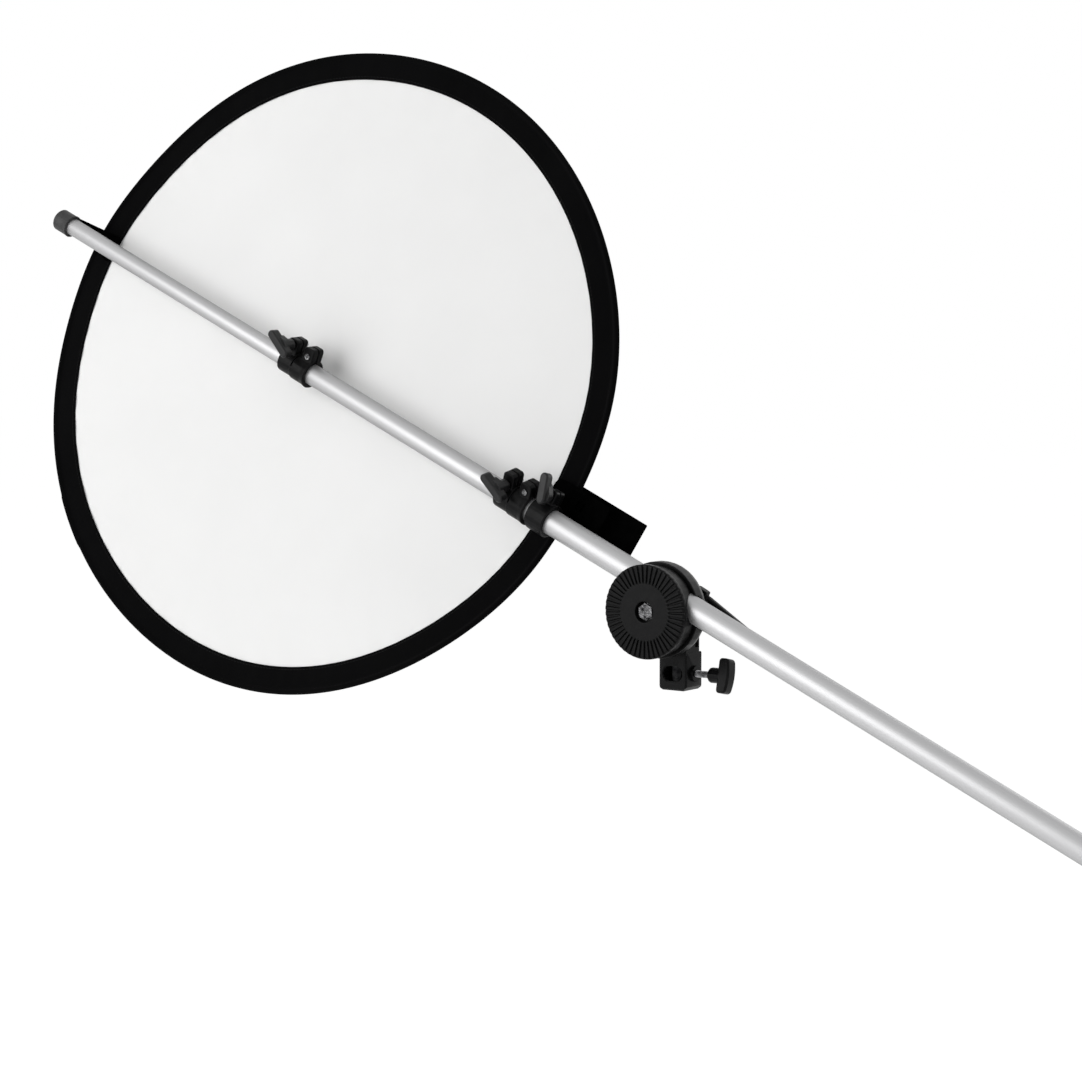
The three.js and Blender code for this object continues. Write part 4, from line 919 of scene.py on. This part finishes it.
# %% Floor and world
def seen_directly(tree):
    """1 for camera, glossy and transmission rays, and 0 for the rays that carry soft light."""
    path = tree.nodes.new("ShaderNodeLightPath")
    total = path.outputs["Is Camera Ray"]
    for name in ("Is Glossy Ray", "Is Transmission Ray"):
        more = tree.nodes.new("ShaderNodeMath")
        more.operation = "MAXIMUM"
        tree.links.new(total, more.inputs[0])
        tree.links.new(path.outputs[name], more.inputs[1])
        total = more.outputs[0]
    return total


AMBIENT = 0.32
FLOOR_PAINT = 0.9
floor_size, floor_height = 30.0, -0.8
half = floor_size / 2
floor_corners = [(-half, -half, floor_height), (half, -half, floor_height),
                 (half, half, floor_height), (-half, half, floor_height)]
floor_mesh = bpy.data.meshes.new("floor")
floor_mesh.from_pydata(floor_corners, [], [(0, 1, 2, 3)])
floor = bpy.data.objects.new("floor", floor_mesh)
bpy.context.scene.collection.objects.link(floor)
floor_material = new_material("pale_floor", (FLOOR_PAINT, FLOOR_PAINT, FLOOR_PAINT), 0.9,
                              Specular_IOR_Level=0.0, Emission_Color=(1, 1, 1, 1))
glow = add_node(floor_material, "ShaderNodeMath", operation="MULTIPLY")
glow.inputs[1].default_value = 1 - FLOOR_PAINT * AMBIENT
floor_material.node_tree.links.new(seen_directly(floor_material.node_tree), glow.inputs[0])
link(floor_material, glow, "Value", shader_of(floor_material), "Emission Strength")
floor_mesh.materials.append(floor_material)

world = bpy.data.worlds.new("studio")
bpy.context.scene.world = world
world.use_nodes = True
tree = world.node_tree
ambient = tree.nodes["Background"]
ambient.inputs["Color"].default_value = (1, 1, 1, 1)
ambient.inputs["Strength"].default_value = AMBIENT
white = tree.nodes.new("ShaderNodeBackground")
white.inputs["Color"].default_value = (1, 1, 1, 1)
white.inputs["Strength"].default_value = 1.0
mix = tree.nodes.new("ShaderNodeMixShader")
tree.links.new(seen_directly(tree), mix.inputs["Fac"])
tree.links.new(ambient.outputs[0], mix.inputs[1])
tree.links.new(white.outputs[0], mix.inputs[2])
tree.links.new(mix.outputs[0], tree.nodes["World Output"].inputs["Surface"])
print("floor at %.2f m" % floor_height)

# %% Lamps
def soft_lamp(name, place, target, size, power):
    """A square lamp at place, facing target."""
    data = bpy.data.lights.new(name, "AREA")
    data.shape = "SQUARE"
    data.size = size
    data.energy = power
    lamp = bpy.data.objects.new(name, data)
    lamp.location = place
    aim = Vector(target) - Vector(place)
    lamp.rotation_euler = aim.to_track_quat("-Z", "Y").to_euler()
    bpy.context.scene.collection.objects.link(lamp)


middle = (-0.15, 0.0, 0.2)
soft_lamp("key", (-1.17, -2.6, 0.95), middle, 2.4, 58)
soft_lamp("fill", (2.4, -1.6, 0.9), middle, 1.6, 6)
soft_lamp("back", (0.5, 2.7, 1.2), middle, 2.2, 22)
print("three lamps")

# %% [markdown]
# The camera
#
# The camera stands where the picture was taken from, 2.8 m away and a little to the right, with a
# long lens. Its place and direction were worked out from the known sizes of the object's parts.

# %% Camera
FOCAL_PIXELS, FRAME_PIXELS, SENSOR_MM = 3264.161, 1082, 36
camera_place = Vector((1.5201, -2.3195, 0.3710))

camera_data = bpy.data.cameras.new("camera")
camera_data.sensor_width = SENSOR_MM
camera_data.lens = FOCAL_PIXELS / FRAME_PIXELS * SENSOR_MM
camera_data.clip_end = 100
camera = bpy.data.objects.new("camera", camera_data)
right = Vector((0.8120, 0.5836, 0.0)).normalized()
look = Vector((-0.5813, 0.8089, -0.0877)).normalized()
up = right.cross(look)
camera.matrix_world = Matrix.Translation(camera_place) @ Matrix((right, up, -look)).transposed().to_4x4()
bpy.context.scene.collection.objects.link(camera)
bpy.context.scene.camera = camera
bpy.context.scene.view_settings.view_transform = "Standard"
print("lens %.1f mm" % camera_data.lens)
